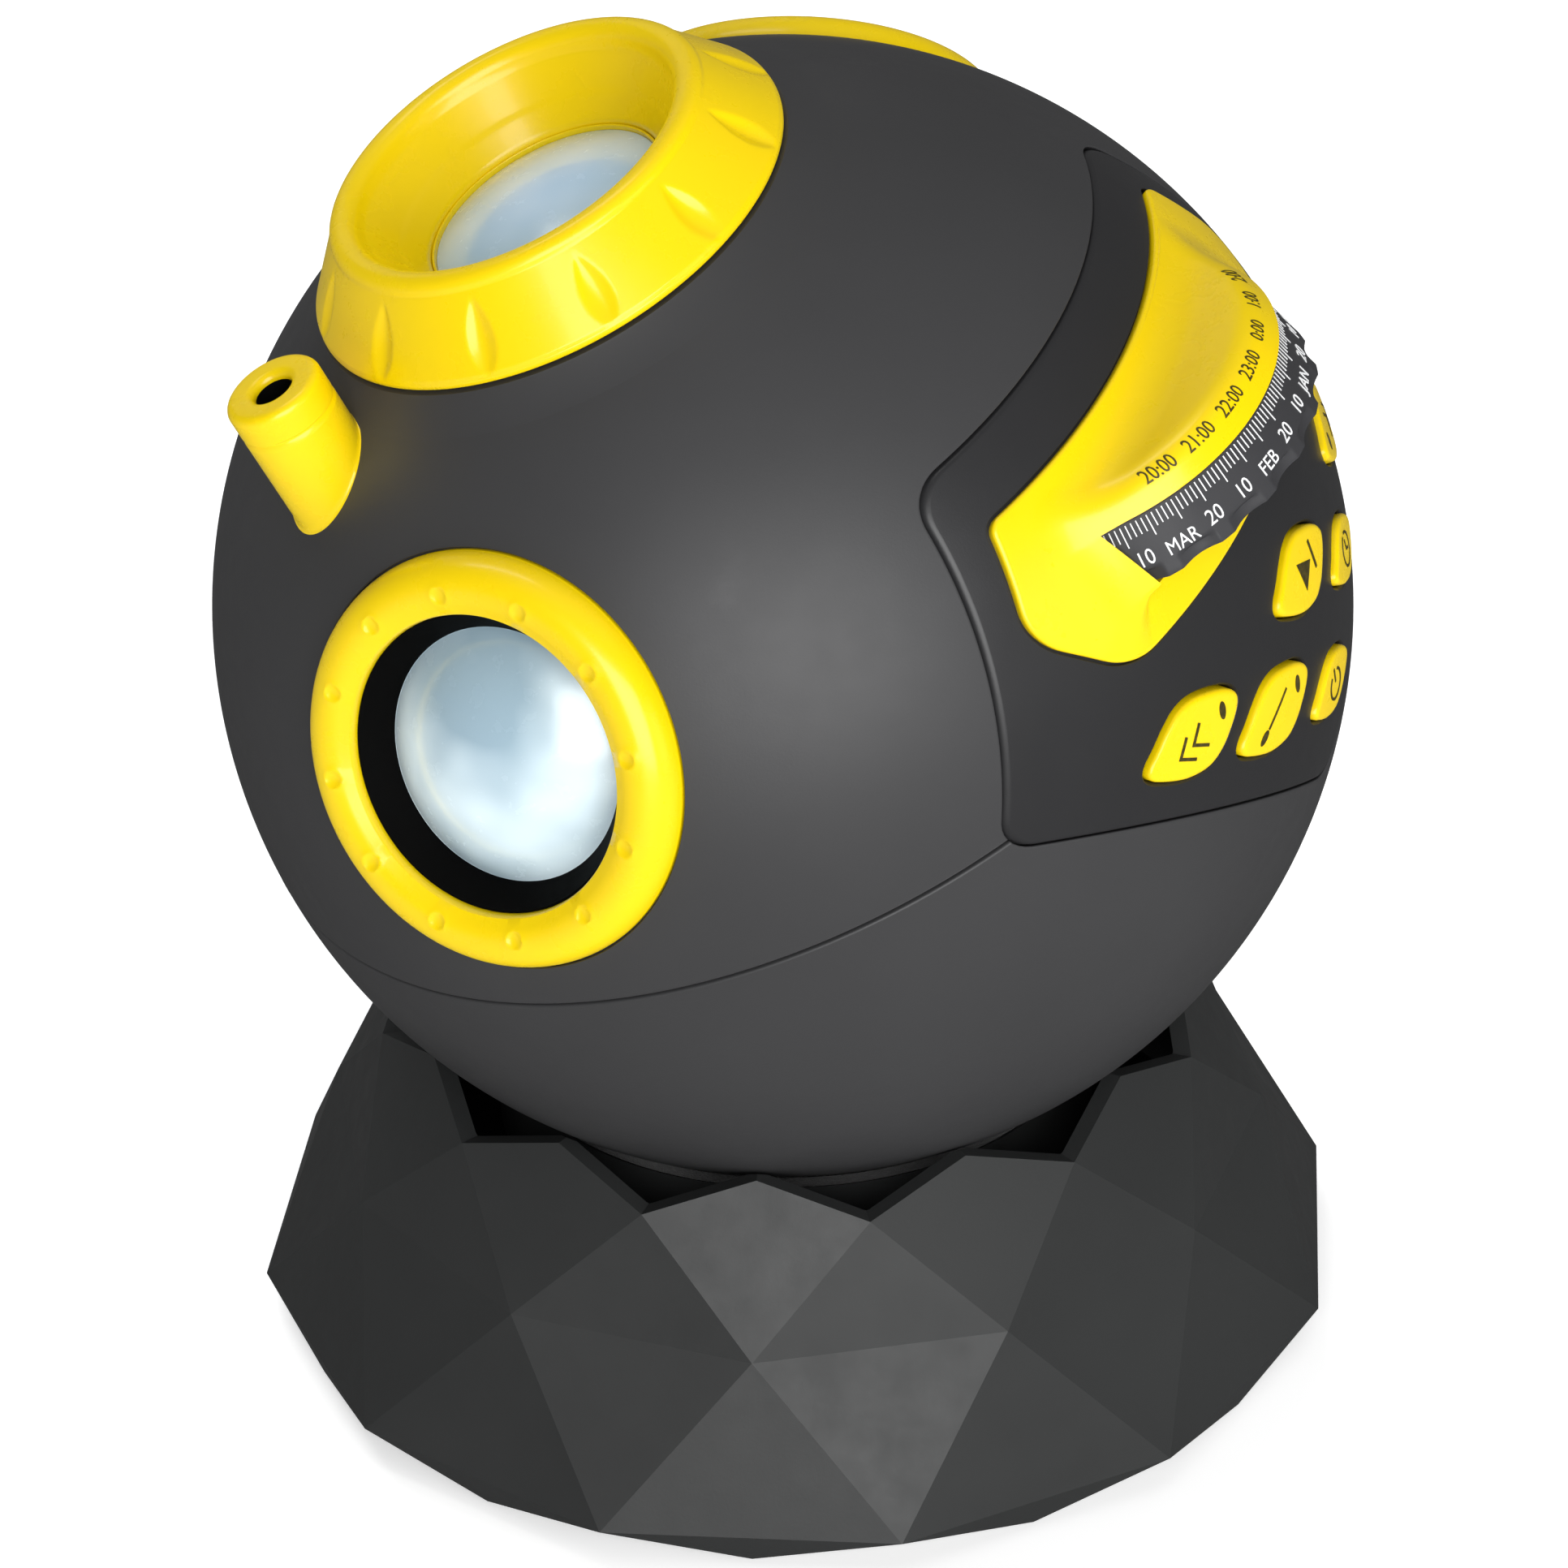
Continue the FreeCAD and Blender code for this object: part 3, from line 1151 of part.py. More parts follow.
def build_control_panel():
    skin = common("panel_skin", hollow_ball("panel_shell", d.ballRadius, shell_inner),
                  panel_prism("panel_outline", as_size(0)))
    posts = []
    places = [(s * y, z) for y, z in ((d.postUpperY, d.postUpperZ), (d.postLowerY, d.postLowerZ))
              for s in (-1, 1)]
    for i, (y, z) in enumerate(places):
        post = primitive("Cylinder", f"panel_post{i}", Radius=d.postRadius, Height=d.ballRadius)
        bore = primitive("Cylinder", f"panel_post_bore{i}", Radius=d.screwRadius + d.threadGap,
                         Height=as_size(10.0))
        for obj, start in ((post, d.boardFront), (bore, d.boardFront - 1)):
            obj.Placement = Placement(Vector(0, 0, 0), Rotation(Vector(0, 1, 0), 90))
            obj.setExpression("Placement.Base.x", start.formula)
            obj.setExpression("Placement.Base.y", as_size(y).formula)
            obj.setExpression("Placement.Base.z", as_size(z).formula)
        posts.append(cut(f"panel_post_bored{i}", post, bore))
    posts = common("panel_posts", fuse("panel_post_set", *posts), ball("panel_middle", shell_inner + 0.4))
    bed = d.ballRadius - d.visorInlay - d.threadGap
    inlay = common("panel_inlay", hollow_ball("inlay_skin", far_out, bed),
                   visor_prism("panel_visor_bed", d.partGap))
    window = box("panel_window", (dial_centre, -d.windowHalf, d.windowBottom - 1.5),
                 (far_out, d.windowHalf, d.dialTop + d.brimRise))
    solid = fuse("panel_posted", cut("panel_pierced", skin, *button_holes()), posts)
    solid = cut("panel_opened", solid, inlay, dial_swept("panel_dial_room", d.slotGap), window)
    node("control_panel", solid, BALL)

    # the circuit board behind the panel, on its four posts
    board = padded("board_body", mirrored([(d.boardTopHalf, d.boardTop), (d.boardTopHalf, -as_size(2.0)),
                                           (d.boardBottomHalf, d.boardBottom)]),
                   d.boardFront - d.boardThickness, d.boardThickness, plane="YZ_Plane")
    board_holes = []
    for i, (y, z) in enumerate(places):
        hole = primitive("Cylinder", f"board_hole{i}", Radius=d.screwRadius + d.partGap, Height=as_size(8.0))
        hole.Placement = Placement(Vector(0, 0, 0), Rotation(Vector(0, 1, 0), 90))
        hole.setExpression("Placement.Base.x", (d.boardFront - 4.0).formula)
        hole.setExpression("Placement.Base.y", as_size(y).formula)
        hole.setExpression("Placement.Base.z", as_size(z).formula)
        board_holes.append(hole)
    node("button_board", cut("board", board, *board_holes), BALL)
    master = screw("panel_screw_master", d.boardFront + 8.0, d.boardFront - d.boardThickness)
    doc.recompute()
    copies = []
    for i, (y, z) in enumerate(places):
        place = Placement(Vector(0, as_size(y).value, as_size(z).value), Rotation(Vector(0, 1, 0), 90))
        copies.append(placed_copy(f"panel_screw_{i + 1}", master, place))
    node("panel_screws", group("panel_screws_group", copies), BALL)

    # the rubber mat that the buttons press, threaded over the posts
    mat_inner = d.matOuter - d.matThickness
    mat = common("mat", hollow_ball("mat_skin", d.matOuter, mat_inner),
                 padded("mat_outline", mirrored([(d.matTopHalf, d.matTop), (d.matTopHalf, -as_size(6.0)),
                                                 (d.matTipHalf, d.matTip)]),
                        dial_centre - 8.0, d.ballRadius, plane="YZ_Plane"))
    mat_holes = []
    for i, (y, z) in enumerate(places):
        hole = primitive("Cylinder", f"mat_hole{i}", Radius=d.postRadius + d.partGap, Height=d.ballRadius)
        hole.Placement = Placement(Vector(0, 0, 0), Rotation(Vector(0, 1, 0), 90))
        hole.setExpression("Placement.Base.x", (d.boardFront - 4.0).formula)
        hole.setExpression("Placement.Base.y", as_size(y).formula)
        hole.setExpression("Placement.Base.z", as_size(z).formula)
        mat_holes.append(hole)
    node("keypad_mat", cut("mat_pierced", mat, *mat_holes), BALL)


def build_buttons():
    for name, (across, up, share) in BUTTONS.items():
        cap = common(f"{name}_cap",
                     leaf_prism(f"{name}_leaf", share, as_size(0), d.flangeTop, as_size(12.0)),
                     ball(f"{name}_crown", d.ballRadius + d.buttonProud))
        flange = leaf_prism(f"{name}_flange", share, d.flangeWidth, d.flangeTop - d.flangeThickness,
                            d.flangeThickness)
        node(name, fuse(name, cap, flange), BALL.multiply(button_frame(across, up)))


# --- the visor and the date dial ------------------------------------------------------

def is_crest(edge, above, beyond):
    # an edge of the hood that lies wholly above the dial and outside its axis
    return edge.BoundBox.ZMin > above and edge.BoundBox.XMax > beyond


def build_visor():
    # A skin on the ball with a window for the dial, and a brim that swells out over
    # the dial and carries the hour scale.
    proud = d.ballRadius + d.visorProud
    bed = d.ballRadius - d.visorInlay
    skin = common("visor_skin", hollow_ball("visor_shell", proud, bed),
                  visor_prism("visor_outline", as_size(0)))
    brim_bottom = d.dialTop + d.brimGap
    brim_top = brim_bottom + d.brimRise
    lower = d.dialTopRadius + 0.7
    brim = cone("brim_cone", lower, d.brimTopRadius, brim_bottom, brim_top, x=dial_centre)
    # the roof falls away from the ball: the plane through the visor's top edge and the brim's crest
    roof = primitive("Box", "brim_roof", Length=far_out, Width=far_out * 2, Height=far_out)
    hinge = height_on_ball(d.ballRadius, d.visorTop)
    roof.Placement = Placement(Vector(0, 0, 0), Rotation(Vector(0, 1, 0), d.roofTilt.value))
    roof.setExpression("Placement.Base.x", (hinge - 20.0).formula)
    roof.setExpression("Placement.Base.y", (-far_out).formula)
    lift = 20.0 * math.tan(math.radians(d.roofTilt.value))
    roof.setExpression("Placement.Base.z", (d.visorTop + lift).formula)
    inner = cone("brim_inside", lower - d.brimWall, d.brimTopRadius - d.brimWall, brim_bottom - 1,
                 brim_top - d.brimWall * 1.6, x=dial_centre)
    # the shroud round the dial's rim closes its two ends beyond the window
    shroud = cone("brim_shroud", d.dialBottomRadius + d.slotGap + d.shroudWall, lower,
                  d.windowBottom, brim_bottom, x=dial_centre)
    hood = cut("brim_roofed", fuse("brim_shrouded", brim, shroud), roof)
    doc.recompute()
    crests = [number for number, edge in enumerate(hood.Shape.Edges, start=1)
              if is_crest(edge, brim_bottom.value + 1.0, dial_centre.value)]
    rounded = doc.addObject("Part::Fillet", "brim_rounded")
    rounded.Base = hood
    rounded.Edges = [(number, d.brimRound.value, d.brimRound.value) for number in crests]
    brim = cut("brim", rounded, ball("brim_bed", bed))
    window = box("visor_window", (dial_centre, -d.windowHalf, d.windowBottom),
                 (far_out, d.windowHalf, brim_bottom))
    room = dial_swept("visor_dial_room", d.slotGap)
    solid = cut("visor_open", fuse("visor_whole", skin, brim), window, inner, room)
    node("dial_visor", solid, BALL)


def mesh_turn(driver_teeth, driver_turn, teeth):
    # the turn that shows a gap to the tooth of a driver on the gear's -X side
    return 180.0 - driver_turn * driver_teeth.value / teeth.value + 180.0 / teeth.value


def gear_teeth(body, label, teeth, bottom, thickness):
    # straight-flanked teeth that stand on the hub, repeated round the axis
    pitch = d.gearModule * teeth / 2
    root_radius = root_radius_of(teeth)
    tip = pitch + d.toothAddendum
    points = [(root_radius - 0.6, -d.toothRootWidth / 2), (root_radius, -d.toothRootWidth / 2),
              (pitch, -d.toothPitchWidth / 2), (tip, -d.toothTipWidth / 2), (tip, d.toothTipWidth / 2),
              (pitch, d.toothPitchWidth / 2), (root_radius, d.toothRootWidth / 2),
              (root_radius - 0.6, d.toothRootWidth / 2)]
    tooth = add_pad(body, f"{label}_tooth", points, bottom, thickness)
    repeat_around(body, tooth, f"{label}_teeth", teeth)


def root_radius_of(teeth):
    return d.gearModule * teeth / 2 - d.toothDedendum


def build_date_dial():
    # Rim, web, hub and gear in one moulding. The rim is a cone that carries the
    # dates; its lower edge is scalloped for the thumb.
    root_radius = root_radius_of(d.dialTeeth)
    bore = d.axleRadius + d.runningGap
    gear_top = d.lowGearBottom + d.lowGearThickness
    dial = turned("date_dial_body", [
        (bore, d.lowGearBottom), (root_radius, d.lowGearBottom), (root_radius, gear_top),
        (d.dialNeckRadius, gear_top), (d.dialNeckRadius, d.dialBottom),
        (d.dialBottomRadius, d.dialBottom), (d.dialTopRadius, d.dialTop),
        (d.dialTopRadius - d.dialWall, d.dialTop),
        (d.dialBottomRadius - d.dialWall, d.dialBottom + d.dialWeb),
        (d.dialHubRadius, d.dialBottom + d.dialWeb), (d.dialHubRadius, d.axleTop - 1.0),
        (bore, d.axleTop - 1.0)])
    gear_teeth(dial, "date_dial", d.dialTeeth, d.lowGearBottom, d.lowGearThickness)
    grip = dial.newObject("PartDesign::SubtractiveCylinder", "date_dial_grip")
    bind(grip, Radius=d.gripRadius, Height=d.gripHeight + 1.0)
    grip.Placement = Placement(Vector(0, 0, 0), Rotation())
    grip.setExpression("Placement.Base.x", (d.dialBottomRadius + d.gripRadius - d.gripDepth).formula)
    grip.setExpression("Placement.Base.z", (d.dialBottom - 1.0).formula)
    dial.Tip = grip
    repeat_around(dial, grip, "date_dial_grips", d.dialGrips)
    turn = mesh_turn(d.idlerLowTeeth, mesh_turn(d.hubTeeth, 0.0, d.idlerTeeth), d.dialTeeth)
    node("date_dial", dial, BALL.multiply(shifted(dial_centre.value, 0, turn)))

    axle = turned("dial_axle_body", [
        (0, d.frameBottom), (d.axleRadius, d.frameBottom), (d.axleRadius, d.axleTop - 0.6),
        (d.axleRadius - 0.6, d.axleTop), (0, d.axleTop)])
    node("dial_axle", axle, BALL.multiply(shifted(dial_centre.value)))


def build_gear_train():
    gear_top = d.gearBottom + d.gearThickness
    hub_root = root_radius_of(d.hubTeeth)
    bore = d.bearingRadius + d.runningGap
    foot = d.frameBottom + d.frameThickness + d.carrierSeat
    # the carrier: a geared hub on the bearing, opening like a funnel to the disc's seat
    film = d.carrierFlangeTop - d.clipThickness - d.discThickness
    ledge = d.discRadius - d.discLedge
    throat = d.carrierThroat
    carrier = turned("disc_carrier_body", [
        (bore, foot), (hub_root, foot), (hub_root, gear_top), (hub_root + 1.2, gear_top + 1.5),
        (throat + d.carrierWall, d.carrierFlangeBottom), (d.carrierFlange, d.carrierFlangeBottom),
        (d.carrierFlange, d.carrierFlangeTop), (d.discRadius + d.runningGap, d.carrierFlangeTop),
        (d.discRadius + d.runningGap, film), (ledge, film), (throat, d.carrierFlangeBottom),
        (bore, d.bearingTop)])
    gear_teeth(carrier, "disc_carrier", d.hubTeeth, d.gearBottom, d.gearThickness)
    node("disc_carrier", carrier, BALL)
    disc = turned("star_disc_body", [(0, film), (d.discRadius, film), (d.discRadius, film + d.discThickness),
                                     (0, film + d.discThickness)])
    node("star_disc", disc, BALL)
    clip = turned("disc_clip_body", [
        (ledge, film + d.discThickness), (d.discRadius, film + d.discThickness),
        (d.discRadius, d.carrierFlangeTop), (ledge + 1.0, d.carrierFlangeTop)])
    node("disc_clip", clip, BALL)

    # The idler has two gears: the upper one meshes with the carrier's, the lower one
    # with the dial's, so the disc follows the dial one to one.
    idler_bore = d.idlerPinRadius + d.runningGap
    low_top = d.lowGearBottom + d.lowGearThickness
    low_root = root_radius_of(d.idlerLowTeeth)
    idler = turned("idler_gear_body", [
        (idler_bore, d.lowGearBottom), (low_root, d.lowGearBottom), (low_root, low_top),
        (idler_bore + 4.0, low_top), (idler_bore + 4.0, d.gearBottom),
        (root_radius_of(d.idlerTeeth), d.gearBottom), (root_radius_of(d.idlerTeeth), gear_top),
        (idler_bore, gear_top)])
    gear_teeth(idler, "idler_low", d.idlerLowTeeth, d.lowGearBottom, d.lowGearThickness)
    gear_teeth(idler, "idler_high", d.idlerTeeth, d.gearBottom, d.gearThickness)
    node("idler_gear", idler,
         BALL.multiply(shifted(idler_centre.value, 0, mesh_turn(d.hubTeeth, 0.0, d.idlerTeeth))))

    # the motor hangs under the frame and drives the carrier's hub gear from the far side
    pinion_root = root_radius_of(d.pinionTeeth)
    pinion_bore = d.motorShaft + d.runningGap
    pinion = turned("motor_pinion_body", [
        (pinion_bore, d.gearBottom - 2.0), (pinion_bore + 2.0, d.gearBottom - 2.0),
        (pinion_bore + 2.0, d.gearBottom), (pinion_root, d.gearBottom),
        (pinion_root, gear_top), (pinion_bore, gear_top)])
    gear_teeth(pinion, "motor_pinion", d.pinionTeeth, d.gearBottom, d.gearThickness)
    turn = mesh_turn(d.hubTeeth, 180.0, d.pinionTeeth) + 180.0
    node("motor_pinion", pinion, BALL.multiply(shifted(motor_centre.value, 0, turn)))

    motor = turned("drive_motor_body", [
        (0, d.frameBottom - d.motorLength), (d.motorRadius, d.frameBottom - d.motorLength),
        (d.motorRadius, d.frameBottom), (d.motorShaft + 1.5, d.frameBottom),
        (d.motorShaft + 1.5, d.frameBottom + d.frameThickness),
        (d.motorShaft, d.frameBottom + d.frameThickness),
        (d.motorShaft, gear_top + 0.4), (0, gear_top + 0.4)])
    node("drive_motor", motor, BALL.multiply(shifted(motor_centre.value)))


def build_optics_frame():
    # a plate across the ball with the bearing tube of the disc carrier and the idler's pin
    top = d.frameBottom + d.frameThickness
    plate = cylinder("frame_plate", d.frameRadius, d.frameBottom, top)
    bearing = cylinder("frame_bearing", d.bearingRadius, d.frameBottom, d.bearingTop - 1.5)
    pin = cylinder("frame_idler_pin", d.idlerPinRadius, d.frameBottom,
                   d.gearBottom + d.gearThickness + 0.6, x=idler_centre)
    holes = [cylinder("frame_bore", d.bearingBore, d.frameBottom - 1, d.bearingTop),
             cylinder("frame_shaft_hole", d.motorShaft + 1.5 + d.runningGap, d.frameBottom - 1, top + 1,
                      x=motor_centre),
             cylinder("frame_axle_hole", d.axleRadius, d.frameBottom - 1, d.axleTop, x=dial_centre)]
    for i in range(4):
        angle = math.radians(d.bossAngle.value + 90 * i)
        x, y = math.cos(angle), math.sin(angle)
        holes.append(cylinder(f"frame_hole{i}", d.screwRadius + d.partGap, d.frameBottom - 1, top + 1,
                              d.bossCircle * x, d.bossCircle * y))
        # lightening holes between the posts
        holes.append(cylinder(f"frame_window{i}", as_size(9.0), d.frameBottom - 1, top + 1,
                              48.0 * math.cos(angle), 48.0 * math.sin(angle)))
    for i, azimuth in enumerate(seam_azimuths):
        x, y = math.cos(math.radians(azimuth)), math.sin(math.radians(azimuth))
        holes.append(cylinder(f"frame_relief{i}", d.bossRadius + 1.0, d.frameBottom - 1, top + 1,
                              d.seamScrewCircle * x, d.seamScrewCircle * y))
    solid = cut("frame", fuse("frame_whole", plate, bearing, pin), *holes)
    node("optics_frame", solid, BALL)
    screws("frame_screws", 4, 0.0, d.bossCircle.value, d.bossAngle.value, 90.0,
           top + 8.0, d.frameBottom, BALL)

    condenser_top = d.condenserBottom + d.condenserEdge
    condenser = turned("condenser_lens_body", [
        (0, d.condenserBottom), (d.condenserRadius, d.condenserBottom), (d.condenserRadius, condenser_top),
        (0, condenser_top + lens_sag(d.condenserCurve, d.condenserRadius))], arcs={2: (d.condenserCurve, -1)})
    node("condenser_lens", condenser, BALL)

    board = turned("lamp_board_body", [
        (0, d.frameBottom - d.lampBoardThickness), (d.lampBoardRadius, d.frameBottom - d.lampBoardThickness),
        (d.lampBoardRadius, d.frameBottom), (0, d.frameBottom)])
    node("lamp_board", board, BALL)
    lamp = turned("lamp_led_body", [
        (0, d.frameBottom), (d.ledRadius + 1.0, d.frameBottom), (d.ledRadius + 1.0, d.frameBottom + 1.0),
        (d.ledRadius, d.frameBottom + 1.0), (0, d.frameBottom + 1.0 + d.ledRadius)],
        arcs={3: (d.ledRadius, -1)})
    node("lamp_led", lamp, BALL)

    # a finned heat sink under the lamp board
    sink_top = d.frameBottom - d.lampBoardThickness
    sink_base = sink_top - 3.0
    block = cylinder("sink_block", d.lampBoardRadius - 0.6, sink_top - d.sinkHeight, sink_top)
    gaps = []
    fins = int(d.sinkFins.value)
    pitch = (d.lampBoardRadius - 0.6) * 2 / fins
    for i in range(fins - 1):
        left = pitch * (i + 0.5 - fins / 2) + d.sinkFinWidth / 2
        gaps.append(box(f"sink_gap{i}", (left, -d.lampBoardRadius, sink_top - d.sinkHeight - 1),
                        (left + pitch - d.sinkFinWidth, d.lampBoardRadius, sink_base)))
    node("heat_sink", cut("sink", block, *gaps), BALL)


build_base()
build_main_housing()
build_lower_dome()
build_battery_pack()
build_lens_train()
build_shooting_star_tube()
for side, name in ((-1, "left"), (1, "right")):
    build_port(side, name)
build_control_panel()
build_buttons()
build_visor()
build_date_dial()
build_gear_train()
build_optics_frame()
doc.recompute()

failed = [o.Name for o in doc.Objects if "Invalid" in o.State or "Error" in o.State]
if failed:
    raise SystemExit(f"objects that did not build: {failed}")

os.makedirs("parts", exist_ok=True)
for part in nodes:
    shape = part.Shape
    if shape.isNull() or not shape.isValid() or not shape.Solids:
        raise SystemExit(f"{part.Label} has no valid solid")
    shape.exportStep(f"parts/{part.Label}.step")
    print(part.Label, len(shape.Solids), "solids", round(shape.Volume), "mm3")
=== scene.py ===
import json
import math

import bmesh
import bpy
import numpy as np
from mathutils import Euler, Matrix, Vector


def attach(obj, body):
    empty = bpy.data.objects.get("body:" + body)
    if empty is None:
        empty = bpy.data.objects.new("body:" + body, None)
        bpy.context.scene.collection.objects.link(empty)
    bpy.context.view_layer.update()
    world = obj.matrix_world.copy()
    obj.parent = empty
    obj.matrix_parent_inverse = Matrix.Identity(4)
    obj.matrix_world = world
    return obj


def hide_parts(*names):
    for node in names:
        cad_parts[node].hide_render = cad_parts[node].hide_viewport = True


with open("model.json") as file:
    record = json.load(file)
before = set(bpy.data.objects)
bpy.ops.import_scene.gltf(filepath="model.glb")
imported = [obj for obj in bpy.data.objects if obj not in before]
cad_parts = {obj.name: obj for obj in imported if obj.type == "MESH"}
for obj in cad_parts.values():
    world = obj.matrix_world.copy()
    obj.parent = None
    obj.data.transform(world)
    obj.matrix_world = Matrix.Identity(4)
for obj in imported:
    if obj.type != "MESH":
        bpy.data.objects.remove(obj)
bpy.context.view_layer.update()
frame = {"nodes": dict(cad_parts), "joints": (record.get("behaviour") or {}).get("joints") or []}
print("frame loaded:", len(frame["nodes"]), "nodes")

# A home planetarium projector. Lengths are in millimetres in each piece's own spot
# (an origin and three axes) and become metres when the piece is placed.
mm = 0.001
jointOf = {joint["name"]: joint for joint in frame["joints"]}
ball = {"radius": 85.0, "wall": 2.6, "gap": 0.3, "seam": 7.2, "seamGap": 0.35, "soft": 0.4, "turns": 320}
ball["inner"] = ball["radius"] - ball["wall"]


def unit(vector):
    return np.array(vector, float) / np.linalg.norm(vector)


def spotAt(origin, zAxis, xHint):
    zAxis = unit(zAxis)
    xAxis = unit(np.array(xHint) - zAxis * np.dot(xHint, zAxis))
    return {"at": np.array(origin, float), "axes": np.stack([xAxis, np.cross(zAxis, xAxis), zAxis], 1)}


def turnMatrix(axis, degrees):
    return np.array(Matrix.Rotation(math.radians(degrees), 3, axis))


# The spot carried by a shift in its own axes, and its axes turned by a matrix.
def moved(spot, shift=(0, 0, 0), turn=None):
    axes = spot["axes"] if turn is None else spot["axes"] @ turn
    return {"at": spot["at"] + spot["axes"] @ np.array(shift, float), "axes": axes}


def outward(spot, azimuth, polar):
    return moved(spot, turn=turnMatrix("Z", azimuth) @ turnMatrix("Y", polar))


def placed(points, spot):
    return (spot["at"] + points @ spot["axes"].T) * mm


opticalAxis = jointOf["disc_turn"]["axis"]
towardsDial = np.array(jointOf["dial_turn"]["pos_m"]) - np.array(jointOf["disc_turn"]["pos_m"])
dialOffset = np.linalg.norm(towardsDial) / mm
ballSpot = spotAt(np.array(jointOf["ball_tilt"]["pos_m"]) / mm, opticalAxis, towardsDial)
dialSpot = moved(ballSpot, (dialOffset, 0, 0))
worldSpot = {"at": np.zeros(3), "axes": np.eye(3)}


# Four-sided faces between neighbours of a rows x columns grid, closed in either direction if asked.
def gridFaces(rows, columns, ringRows=False, ringColumns=True):
    i = np.arange(rows if ringRows else rows - 1)[:, None]
    j = np.arange(columns if ringColumns else columns - 1)[None, :]
    up, right = (i + 1) % rows, (j + 1) % columns
    corners = [i * columns + j, i * columns + right, up * columns + right, up * columns + j]
    return np.stack(corners, -1).reshape(-1, 4)


def meshObject(name, points, faces):
    mesh = bpy.data.meshes.new(name)
    mesh.from_pydata(points.tolist(), [], faces.tolist() if isinstance(faces, np.ndarray) else faces)
    piece = bpy.data.objects.new(name, mesh)
    bpy.context.scene.collection.objects.link(piece)
    return piece


# Doubles merged, so that seams and poles close, and all faces turned outwards.
def tidyMesh(piece, merge=2e-6):
    work = bmesh.new()
    work.from_mesh(piece.data)
    bmesh.ops.remove_doubles(work, verts=work.verts, dist=merge)
    bmesh.ops.dissolve_degenerate(work, edges=work.edges, dist=merge)
    bmesh.ops.recalc_face_normals(work, faces=work.faces)
    work.to_mesh(piece.data)
    work.free()
    return piece


# A grid of points whose columns close into rings, and whose rows do too if asked.
def gridPiece(name, points, spot, ringRows=False):
    faces = gridFaces(*points.shape[:2], ringRows)
    return tidyMesh(meshObject(name, placed(points.reshape(-1, 3), spot), faces))


# The piece less its cutters, which are removed afterwards.
def carve(piece, cutters, solver="MANIFOLD"):
    for cutter in cutters:
        step = piece.modifiers.new("cut", "BOOLEAN")
        step.operation, step.solver, step.object = "DIFFERENCE", solver, cutter
    graph = bpy.context.evaluated_depsgraph_get()
    mesh = bpy.data.meshes.new_from_object(piece.evaluated_get(graph))
    piece.modifiers.clear()
    piece.data = mesh
    for cutter in cutters:
        bpy.data.objects.remove(cutter)


# Smooth shading with sharp edges past an angle. Faces that lie on a sphere (centre, radius, side) get its
# own normals, so that cuts don't dent the reflections.
def polish(piece, sharp, spheres=()):
    mesh = piece.data
    mesh.shade_smooth()
    mesh.set_sharp_from_angle(angle=math.radians(sharp))
    if not spheres:
        return
    loops, places = len(mesh.loops), np.empty(len(mesh.vertices) * 3)
    normals, corner = np.empty(loops * 3, np.float32), np.empty(loops, np.int32)
    sizes = np.empty(len(mesh.polygons), np.int32)
    mesh.vertices.foreach_get("co", places)
    mesh.corner_normals.foreach_get("vector", normals)
    mesh.loops.foreach_get("vertex_index", corner)
    mesh.polygons.foreach_get("loop_total", sizes)
    places, normals = places.reshape(-1, 3) / mm, normals.reshape(-1, 3)
    starts = np.concatenate([[0], np.cumsum(sizes)[:-1]])
    for centre, radius, side in spheres:
        away = places - np.array(centre)
        far = np.linalg.norm(away, axis=1)
        onSphere = np.abs(far - radius) < 0.02
        whole = np.logical_and.reduceat(onSphere[corner], starts)
        chosen = np.repeat(whole, sizes)
        normals[chosen] = side * (away / np.maximum(far, 1e-9)[:, None])[corner[chosen]]
    mesh.normals_split_custom_set(normals.tolist())


def finishPiece(piece, material, slot, body, *nodes):
    piece.data.materials.clear()
    piece.data.materials.append(material)
    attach(piece, body)
    if nodes:
        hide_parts(*nodes)


# Points on a circle: centre + radius * (cos, sin) from one angle to another in degrees.
def arc(centre, radius, start, end, count):
    angles = np.radians(np.linspace(start, end, count))
    return np.stack([centre[0] + radius * np.cos(angles), centre[1] + radius * np.sin(angles)], 1)


# A polygon whose corners (x, y, radius) are replaced by tangent arcs.
def roundedPath(corners, steps=6, closed=True):
    corners = [(np.array(corner[:2], float), corner[2] if len(corner) > 2 else 0) for corner in corners]
    parts, count = [], len(corners)
    for index, (point, radius) in enumerate(corners):
        isEnd = not closed and index in (0, count - 1)
        if radius <= 0 or isEnd:
            parts.append(point[None])
            continue
        before = unit(corners[index - 1][0] - point)
        after = unit(corners[(index + 1) % count][0] - point)
        half = math.acos(np.clip(np.dot(before, after), -1, 1)) / 2
        reach = radius / math.tan(half)
        centre = point + unit(before + after) * radius / math.sin(half)
        first, last = point + before * reach - centre, point + after * reach - centre
        share = np.linspace(0, 1, steps + 1)[:, None]
        swing = math.pi - 2 * half
        sine = max(math.sin(swing), 1e-9)
        parts.append(centre + (np.sin((1 - share) * swing) * first + np.sin(share * swing) * last) / sine)
    return np.concatenate(parts)


# A closed path resampled at even steps of its own length.
def evenly(path, count):
    loop = np.vstack([path, path[:1]])
    length = np.concatenate([[0], np.cumsum(np.linalg.norm(np.diff(loop, axis=0), axis=1))])
    steps = np.linspace(0, length[-1], count, endpoint=False)
    return np.stack([np.interp(steps, length, loop[:, k]) for k in (0, 1)], 1)


